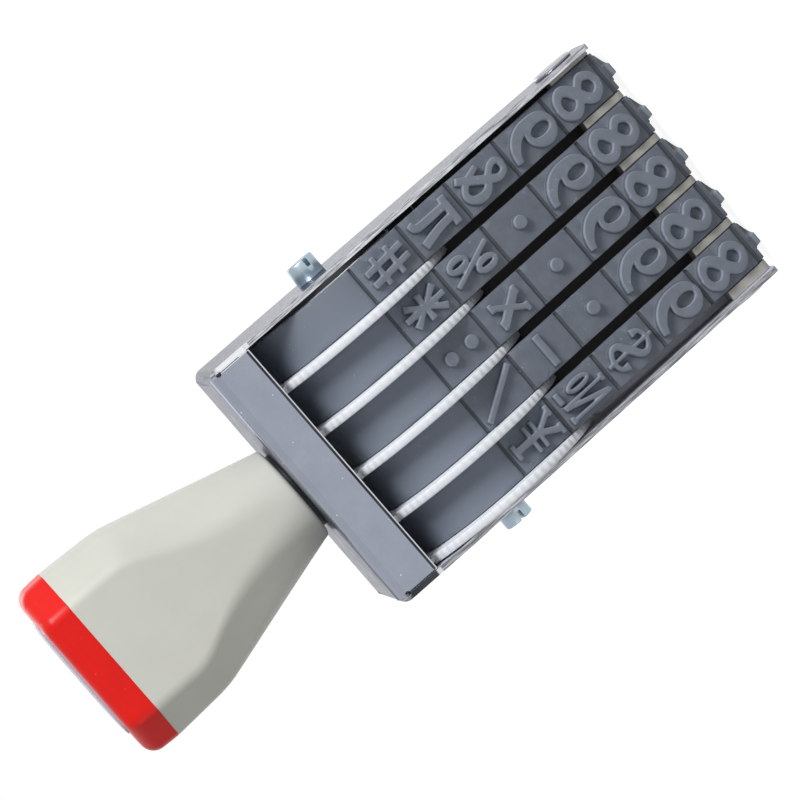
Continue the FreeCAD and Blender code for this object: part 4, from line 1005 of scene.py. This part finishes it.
class STAMP_OT_bands(Operator):
    """Makes the five rubber bands with their raised characters"""
    bl_idname = "stamp.bands"
    bl_label = "Rubber bands"

    def execute(self, context):
        settings = context.scene.stamp_bands
        rubber = band_rubber(settings)
        face, flank = BELT_HALF + settings.relief / MM, settings.flank / MM
        levels = [(-0.12, face), (-0.03, face - 0.03), (0.03, face - 0.11),
                  (flank - 0.1, BELT_HALF + 0.10), (flank + 0.04, BELT_HALF)]
        sizes = (settings.character_width / MM, settings.character_height / MM, settings.stroke / MM)
        lines = {sign: character_lines(sign, sizes, levels) for sign in CHARACTERS}
        path, loop = belt_path()
        for number in range(1, 6):
            band = strip_mesh("rubber_band_%d" % number, number, settings, lines, levels)
            left = context.scene.stamp_wheels.disc_thickness + SIDE_GAP * MM
            left += (FIRST_DISC + (5 - number) * BAND_PITCH) * MM
            fed(band, belt_wrap, {"Path": path, "Loop length": loop * MM,
                                  "Place on axle": left + settings.width / 2, "Material": rubber.material})
            band.data.shade_smooth()
            flat_faced(band)
            turned_outward(band)
            finished(band, "number_band_%d" % number)
        bpy.data.objects.remove(path)
        return {"FINISHED"}


class STAMP_OT_wheels(Operator):
    """Makes the five thumb wheels with their fine teeth"""
    bl_idname = "stamp.wheels"
    bl_label = "Thumb wheels"

    def execute(self, context):
        settings = context.scene.stamp_wheels
        plastic = moulded_plastic("wheel_plastic", settings.plastic, 0.48, grain=3200.0,
                                  depth=0.00002, tint=0.05)
        rim, thick, drum = settings.disc_radius / MM, settings.disc_thickness / MM, settings.drum_radius / MM
        end = thick + SIDE_GAP + context.scene.stamp_bands.width / MM
        outline = [(0.0, 2.56), (0.0, 5.6), (0.12, 5.9), (0.12, 12.0), (0.0, 12.3), (0.0, rim - 0.35),
                   (0.05, rim - 0.1), (0.18, rim), (thick - 0.18, rim), (thick - 0.05, rim - 0.1),
                   (thick, rim - 0.35), (thick, drum + 0.08), (thick + 0.08, drum), (end - 0.2, drum),
                   (end, drum - 0.2), (end, drum - 2.4), (end - 0.1, drum - 2.5), (thick + 1.8, drum - 2.5),
                   (thick + 1.6, drum - 2.7), (thick + 1.6, 5.2), (thick + 1.8, 5.0), (end - 0.15, 5.0),
                   (end, 4.85), (end, 2.7), (end - 0.1, 2.56), (0.0, 2.56)]
        teeth = {"Teeth": settings.teeth, "Tooth depth": settings.tooth_depth,
                 "Tooth root": (rim - 0.5) * MM, "Tooth tip": (rim - 0.1) * MM}
        for number in range(1, 6):
            centre = (FIRST_DISC + (5 - number) * BAND_PITCH, 0, AXLE_HEIGHT)
            wheel = turned_piece("toothed_wheel_%d" % number, outline, plastic, centre,
                                 steps=settings.teeth * 6, crease=50.0, **teeth)
            finished(wheel, "thumb_wheel_%d" % number, "wheel_%d" % number)
        return {"FINISHED"}


class STAMP_OT_yoke(Operator):
    """Makes the bent sheet yoke, the platen, the spacer plate and the click spring"""
    bl_idname = "stamp.yoke"
    bl_label = "Yoke, platen and spring"

    def execute(self, context):
        settings = context.scene.stamp_yoke
        sheet = softened_copy("bent_yoke", "yoke", settings.edge, plated_sheet(settings.nickel))
        finished(sheet, "yoke")
        cream = moulded_plastic("platen_plastic", settings.cream, 0.5, depth=0.00002, tint=0.12, specks=0.2)
        block = softened_copy("finned_platen", "platen", 0.0001, cream, segments=2)
        finished(block, "platen")
        # The black spacer plate stands for the shade seen through the gaps between the bands: a dark sheet
        # put where there is shade.
        black = moulded_plastic("spacer_plastic", (0.02, 0.02, 0.022), 0.6, depth=0.00002, tint=0.2,
                                specks=0.08)
        # painted reflection: the plate's end by the -X wall is painted pale lavender
        pale_end_painted_reflection = black.between(black.split(black.place())[0], -0.0222, -0.0224)
        black.paint(black.mix(pale_end_painted_reflection, black.base, (0.78, 0.79, 0.90)))
        plate = softened_copy("dark_spacer_plate", "spacer_plate", 0.00008, black, segments=2)
        for point in plate.data.vertices:
            if point.co.z > SPACER_TOP * MM:
                point.co.z += 0.0003
        finished(plate, "spacer_plate")
        carried(bright_metal("spring_steel", (0.36, 0.36, 0.37), 0.32, (4000.0, 300.0, 300.0)),
                "click_spring")
        return {"FINISHED"}


class STAMP_OT_fastenings(Operator):
    """Makes the slotted screws and rivets, and finishes the axle and washers"""
    bl_idname = "stamp.fastenings"
    bl_label = "Screws, rivets and axle"

    def execute(self, context):
        zinc = bright_metal("zinc_steel", context.scene.stamp_yoke.zinc, 0.34, (700.0, 5200.0, 5200.0),
                            wave=0.00003, spread=0.16, specks=0.16)
        steel = bright_metal("rivet_steel", (0.45, 0.46, 0.48), 0.30, (900.0, 2600.0, 2600.0), spread=0.14)
        screw_outline = [(-9.6, 0.0), (-9.6, 1.2), (-9.3, 1.45), (0, 1.45), (0, 2.62), (0.1, 2.7), (3.4, 2.7),
                         (3.6, 2.6), (3.7, 2.4), (3.7, 0.0)]
        rivet_outline = [(-8.0, 0.0), (-8.0, 1.75), (-7.8, 1.95), (0, 1.95), (0, 3.72), (0.06, 3.85),
                         (0.2, 3.9), (0.42, 3.88), (0.6, 3.75), (0.72, 3.5), (0.79, 2.8),
                         (0.8, 1.5), (0.8, 0.0)]
        axle = Vector((0, 0, AXLE_HEIGHT * MM))
        for side, word in ((-1, "left"), (1, "right")):
            def from_wall(rows):
                return [(side * (YOKE_HALF + x), r) for x, r in rows]

            slot = {"Slotted": True, "Slot size": in_metres((3.7, 8.0, 0.8)),
                    "Slot place": in_metres((side * (YOKE_HALF + 3.85), 0, AXLE_HEIGHT))}
            screw = turned_piece("slotted_screw_" + word, from_wall(screw_outline), zinc, (0, 0, AXLE_HEIGHT),
                                 edge=0.07, **slot)
            spin = Matrix.Rotation(math.radians(14 + 5 * side), 3, "X")
            for point in screw.data.vertices:
                point.co = spin @ (point.co - axle) + axle
            finished(screw, "axle_screw_" + word)
            rivet = turned_piece("flat_rivet_" + word, from_wall(rivet_outline), steel, (0, 0, RIVET_HEIGHT),
                                 crease=30.0)
            finished(rivet, "platen_rivet_" + word)
        carried(bright_metal("turned_steel", (0.50, 0.50, 0.50), 0.26, (6000.0, 500.0, 500.0)),
                "axle", "handle_screw", "thrust_washer_left")
        # blackened steel, dark as painted shade for the gap under the handle's foot
        carried(bright_metal("blackened_steel", (0.05, 0.05, 0.055), 0.5, (900.0, 900.0, 3000.0)),
                "handle_washer")
        carried(moulded_plastic("washer_fibre", (0.03, 0.03, 0.032), 0.7, grain=1800.0, depth=0.00003,
                                tint=0.3, specks=0.15), "thrust_washer_right")
        carried(bright_metal("insert_brass", (0.72, 0.52, 0.24), 0.28, (500.0, 500.0, 5000.0)),
                "handle_insert")
        return {"FINISHED"}


# handle and cap

def facet_corners(width, depth, face, flank):
    w, d, f, k = width / 2, depth / 2, face / 2, flank / 2
    return [(-f, -d), (f, -d), (w, -k), (w, k), (f, d), (-f, d), (-w, k), (-w, -k)]


def inset_corners(corners, inset):
    """The corners of the same figure with every side moved inward."""
    sides = []
    for (x0, y0), (x1, y1) in zip(corners, corners[1:] + corners[:1]):
        d = math.hypot(x1 - x0, y1 - y0)
        nx, ny = (y0 - y1) / d, (x1 - x0) / d
        sides.append((nx, ny, nx * x0 + ny * y0 + inset))
    out = []
    for a, b in zip(sides[-1:] + sides, sides):
        det = a[0] * b[1] - a[1] * b[0]
        out.append(((a[2] * b[1] - b[2] * a[1]) / det, (a[0] * b[2] - b[0] * a[2]) / det))
    return out


def rounded_ring(corners, radius, z):
    """Closed ring with rounded corners, seven points in each and three on each side."""
    arcs = []
    for (ax, ay), (px, py), (bx, by) in zip(corners[-1:] + corners, corners, corners[1:] + corners[:1]):
        la, lb = math.hypot(ax - px, ay - py), math.hypot(bx - px, by - py)
        ua, ub = ((ax - px) / la, (ay - py) / la), ((bx - px) / lb, (by - py) / lb)
        turn = math.acos(ua[0] * ub[0] + ua[1] * ub[1]) / 2
        cut = min(radius / math.tan(turn), la * 0.48, lb * 0.48)
        r = cut * math.tan(turn)
        mx, my = ua[0] + ub[0], ua[1] + ub[1]
        lm, reach = math.hypot(mx, my), r / math.sin(turn)
        cx, cy = px + mx / lm * reach, py + my / lm * reach
        a0, a1 = (math.atan2(py + u[1] * cut - cy, px + u[0] * cut - cx) for u in (ua, ub))
        sweep = (a1 - a0 + math.pi) % (2 * math.pi) - math.pi
        arcs.append([(cx + r * math.cos(a0 + sweep * t / 6), cy + r * math.sin(a0 + sweep * t / 6))
                     for t in range(7)])
    ring = []
    for now, after in zip(arcs, arcs[1:] + arcs[:1]):
        (x0, y0), (x1, y1) = now[-1], after[0]
        ring += now + [(x0 + (x1 - x0) * t / 4, y0 + (y1 - y0) * t / 4) for t in (1, 2, 3)]
    return [(x, y, z) for x, y in ring]


def blended(a, b, t):
    return [tuple(p + (q - p) * t for p, q in zip(m, n)) for m, n in zip(a, b)]


def softened_bend(before, bend, after, count=7):
    """Rings that lead from one to another in a curve pulled towards the bend."""
    return [[tuple((1 - t) ** 2 * p + 2 * t * (1 - t) * q + t * t * r for p, q, r in zip(a, b, c))
             for a, b, c in zip(before, bend, after)] for t in (k / count for k in range(count + 1))]


def circle_like(ring, radius, z):
    """A round ring with its points at the angles of another ring."""
    return [(x / math.hypot(x, y) * radius, y / math.hypot(x, y) * radius, z) for x, y, _ in ring]


def box_like(ring, half_x, half_y, corner, z):
    """A rounded rectangle with its points at the angles of another ring."""
    out = []
    for x, y, _ in ring:
        d = math.hypot(x, y)
        dx, dy = x / d, y / d
        lo, hi = 0.0, 40.0
        for _step in range(40):
            mid = (lo + hi) / 2
            qx, qy = abs(dx * mid) - half_x + corner, abs(dy * mid) - half_y + corner
            gap = math.hypot(max(qx, 0), max(qy, 0)) + min(max(qx, qy), 0) - corner
            lo, hi = (mid, hi) if gap < 0 else (lo, mid)
        out.append((dx * lo, dy * lo, z))
    return out


class STAMP_OT_handle(Operator):
    """Makes the faceted grip on its round neck"""
    bl_idname = "stamp.handle"
    bl_label = "Handle"

    def execute(self, context):
        settings = context.scene.stamp_handle
        wide, deep, neck = settings.width / MM, settings.depth / MM, settings.neck_radius / MM
        end = facet_corners(wide, deep, FACET_FRONT, FACET_SIDE)
        top = rounded_ring(end, 3.0, GRIP_TOP)
        low_z = NECK_BOTTOM + 1.0
        narrow = 2 * neck * math.tan(math.pi / 8)

        def section(t):
            """Ring at a share t of the way from the neck (0) to the kink (1)."""
            corners = facet_corners(
                2 * neck + (wide - 1.2 - 2 * neck) * t, 2 * neck + (deep - 0.4 - 2 * neck) * t,
                narrow + (FACET_FRONT - narrow) * t ** 2.4, narrow + (FACET_SIDE - narrow) * t)
            return rounded_ring(corners, neck * 0.96 + (3.2 - neck * 0.96) * min(1.0, t * 1.2) ** 0.9,
                                low_z + (SHOULDER - low_z) * t)

        low, kink = section(0), section(1)
        last = 1 - 2.4 / (SHOULDER - low_z)
        rings = [circle_like(low, neck - cut, NECK_BOTTOM + up)
                 for cut, up in ((0.75, 0.0), (0.4, 0.12), (0.12, 0.4))]
        rings += [low] + [section(last * t / 20) for t in range(1, 20)]
        rings += softened_bend(section(last), kink, blended(kink, top, 2.6 / (GRIP_TOP - SHOULDER)))
        rings += [blended(rings[-1], top, t) for t in (0.33, 0.66, 0.985)]
        mouth = rounded_ring(inset_corners(end, 2.4), 1.6, GRIP_TOP)
        for ring, kx, ky, z in ((top, 0.994, 0.992, GRIP_TOP), (mouth, 1, 1, GRIP_TOP),
                                (mouth, 0.97, 0.96, SHOULDER - 2.2), (mouth, 0.9, 0.9, SHOULDER - 2.6)):
            rings.append([(x * kx, y * ky, z) for x, y, _ in ring])
        foot = [circle_like(low, r, NECK_BOTTOM + up)
                for r, up in ((neck - 0.75, 0.0), (4.6, 0.0), (4.6, 1.0), (3.6, 1.0), (3.6, 9.0))]
        grip = moulded_plastic("handle_plastic", settings.plastic, 0.46, grain=2400.0, depth=0.000012,
                               tint=0.035, specks=0.07)
        height, sideways = grip.split(grip.place())[2], grip.split(grip.place("Normal"))[0]
        # painted shade: the -X side of the grip is painted darker towards its foot, below 101 mm
        shade = grip.times(grip.between(height, 0.1010, 0.0885, 0.0, 0.62),
                           grip.between(sideways, -0.45, -0.95))
        grip.paint(grip.layers(grip.base, (shade, (0.20, 0.205, 0.175)),
                               # painted shade: the grip is darker at its foot, below 88 mm
                               (grip.between(height, 0.0880, 0.0874, 0.0, 0.5), (0.12, 0.12, 0.11))))
        piece = lofted("faceted_grip", grip, rings, foot)
        flat_faced(piece)
        finished(piece, "handle")
        return {"FINISHED"}


class STAMP_OT_cap(Operator):
    """Makes the red end cap with its clear window and the label under it"""
    bl_idname = "stamp.cap"
    bl_label = "End cap and window"

    def execute(self, context):
        settings = context.scene.stamp_handle
        corners = facet_corners(settings.width / MM, settings.depth / MM, FACET_FRONT, FACET_SIDE)
        red = moulded_plastic("cap_plastic", settings.red, 0.34, grain=1600.0, depth=0.000012, tint=0.08,
                              scratch=0.5)
        red.shader["Specular IOR Level"].default_value = 0.25
        bend = 2.7

        def rings_at(rows):
            return [rounded_ring(inset_corners(corners, inset), radius, z) for inset, radius, z in rows]

        outer = rings_at([(0.06, 2.9, GRIP_TOP), (0.0, 2.9, GRIP_TOP + 0.14), (0.05, 2.9, GRIP_TOP + 1.6),
                          (0.14, 2.9, CAP_TOP - bend)])
        for a in (math.pi / 2 * k / 9 for k in range(1, 10)):
            inset = 0.14 + bend * (1 - math.cos(a))
            outer += rings_at([(inset, max(2.9 - 0.4 * inset, 1.4), CAP_TOP - bend + bend * math.sin(a))])
        shape = outer[-1]

        def boxes_at(rows):
            return [box_like(shape, *row, CAP_TOP + up) for *row, up in rows]

        outer += boxes_at([(12.3, 6.7, 3.1, 0), (12.1, 6.5, 3.0, -0.12), (12.1, 6.5, 3.0, -1.3)])
        inner = outer[:1] + rings_at([
            (2.2, 1.4, GRIP_TOP), (2.5, 1.2, GRIP_TOP - 0.05), (2.6, 1.2, GRIP_TOP - 4.0),
            (3.9, 1.0, GRIP_TOP - 4.0), (3.9, 1.0, CAP_TOP - 2.4)])
        cap = lofted("end_cap_shell", red, outer, inner)
        flat_faced(cap)
        finished(cap, "end_cap")

        panes = boxes_at([(12.05, 6.45, 2.95, -1.0), (12.05, 6.45, 2.95, 0.12), (11.98, 6.38, 2.9, 0.26),
                          (11.8, 6.2, 2.75, 0.36), (11.4, 5.8, 2.5, 0.44), (10.2, 5.0, 2.2, 0.55),
                          (7.5, 3.6, 1.8, 0.64), (4.0, 1.8, 0.9, 0.69)])
        pane = lofted("domed_window", clear_window(settings.window), panes, close_first=True, crease=60.0)
        finished(pane, "cap_window")
        carried(label_paper(), "index_label")
        return {"FINISHED"}


# stage, in metres and degrees

LAMP_AIM = (0.0, 0.0, 0.07)
CAMERA_TARGET = Vector((-0.00013, 0.0, 0.06356))
CAMERA_DISTANCE = 0.918
CAMERA_TURN, CAMERA_RISE, CAMERA_ROLL = 4.5, 4.8, 228.83


def looking(position, target, roll=0.0):
    """Matrix of a lamp or camera at a place, aimed at a target and rolled."""
    back = (Vector(position) - Vector(target)).normalized()
    right = Vector((0, 0, 1)).cross(back).normalized()
    up = back.cross(right)
    c, s = math.cos(roll), math.sin(roll)
    turned = Matrix((c * right + s * up, c * up - s * right, back)).transposed().to_4x4()
    return Matrix.Translation(position) @ turned


def soft_lamp(name, position, size, power):
    data = bpy.data.lights.new(name, "AREA")
    data.shape = "DISK"
    data.size = size
    data.energy = power
    placed(name, data).matrix_world = looking(position, LAMP_AIM)


def pale_floor(settings):
    """Wide plain floor that keeps a soft shadow and is white to the camera elsewhere."""
    work = bmesh.new()
    bmesh.ops.create_circle(work, cap_ends=True, segments=96, radius=4.0)
    mesh = bpy.data.meshes.new("floor")
    work.to_mesh(mesh)
    work.free()
    floor = placed("floor", mesh)
    floor.location.z = -0.00002
    material = bpy.data.materials.new("pale_floor")
    material.use_nodes = True
    material.node_tree.nodes.clear()
    n = Nodes(material.node_tree)
    matt = n.add("ShaderNodeBsdfDiffuse", {"Color": (*settings.floor, 1)}).outputs[0]
    half = n.add("ShaderNodeBsdfDiffuse", {"Color": (0.40, 0.40, 0.40, 1)}).outputs[0]
    glow = n.add("ShaderNodeEmission", {"Color": (1, 1, 1, 1), "Strength": 0.90}).outputs[0]
    both = n.add("ShaderNodeAddShader", {0: half, 1: glow}).outputs[0]
    choice = n.add("ShaderNodeMixShader", {0: n.seen_directly(), 1: matt, 2: both}).outputs[0]
    n.add("ShaderNodeOutputMaterial", {0: choice})
    mesh.materials.append(material)
    return floor


class STAMP_OT_stage(Operator):
    """Makes the pale floor, the soft lamps, the room light and the camera"""
    bl_idname = "stamp.stage"
    bl_label = "Stage"

    def execute(self, context):
        settings = context.scene.stamp_stage
        scene = context.scene
        pale_floor(settings)
        soft_lamp("key_lamp", (0.84, -0.70, 0.44), 0.5, settings.key)
        soft_lamp("fill_lamp", (-0.8, -0.7, 0.35), 0.8, settings.fill)
        soft_lamp("back_lamp", (0.3, 0.9, 0.6), 0.8, 2 * settings.fill)

        scene.world = bpy.data.worlds.new("room")
        scene.world.use_nodes = True
        scene.world.node_tree.nodes.clear()
        n = Nodes(scene.world.node_tree)
        room, white = (n.add("ShaderNodeBackground", {"Color": (1, 1, 1, 1), "Strength": strength}).outputs[0]
                       for strength in (settings.sky, 1.0))
        choice = n.add("ShaderNodeMixShader", {0: n.seen_directly(), 1: room, 2: white}).outputs[0]
        n.add("ShaderNodeOutputWorld", {0: choice})
        scene.view_settings.view_transform = "Standard"

        azimuth, elevation = math.radians(CAMERA_TURN), math.radians(CAMERA_RISE)
        back = Vector((math.sin(azimuth) * math.cos(elevation), -math.cos(azimuth) * math.cos(elevation),
                       math.sin(elevation)))
        data = bpy.data.cameras.new("photo_camera")
        data.sensor_width = 36.0
        data.lens = 245.5
        data.clip_start, data.clip_end = 0.05, 30.0
        scene.camera = placed("photo_camera", data)
        scene.camera.matrix_world = looking(CAMERA_TARGET + back * CAMERA_DISTANCE, CAMERA_TARGET,
                                             math.radians(CAMERA_ROLL))
        return {"FINISHED"}


OPERATORS = (STAMP_OT_stage, STAMP_OT_yoke, STAMP_OT_fastenings, STAMP_OT_wheels, STAMP_OT_bands,
             STAMP_OT_handle, STAMP_OT_cap)


class STAMP_PT_panel(Panel):
    """Sidebar list of the stamp's pieces and their sizes"""
    bl_idname = "STAMP_PT_panel"
    bl_label = "Numbering stamp"
    bl_space_type = "VIEW_3D"
    bl_region_type = "UI"
    bl_category = "Numbering stamp"

    def draw(self, context):
        for operator in OPERATORS:
            self.layout.operator(operator.bl_idname)
        for label, group in SETTINGS:
            box = self.layout.box()
            for key in group.__annotations__:
                box.prop(getattr(context.scene, label), key)


def register():
    for label, group in SETTINGS:
        bpy.utils.register_class(group)
        setattr(bpy.types.Scene, label, PointerProperty(type=group))
    for made in (*OPERATORS, STAMP_PT_panel):
        bpy.utils.register_class(made)


def unregister():
    for made in (STAMP_PT_panel, *reversed(OPERATORS)):
        bpy.utils.unregister_class(made)
    for label, group in reversed(SETTINGS):
        delattr(bpy.types.Scene, label)
        bpy.utils.unregister_class(group)


def main():
    register()
    bpy.ops.stamp.stage()
    bpy.ops.stamp.yoke()
    bpy.ops.stamp.fastenings()
    bpy.ops.stamp.wheels()
    bpy.ops.stamp.bands()
    bpy.ops.stamp.handle()
    bpy.ops.stamp.cap()


if __name__ == "__main__":
    main()
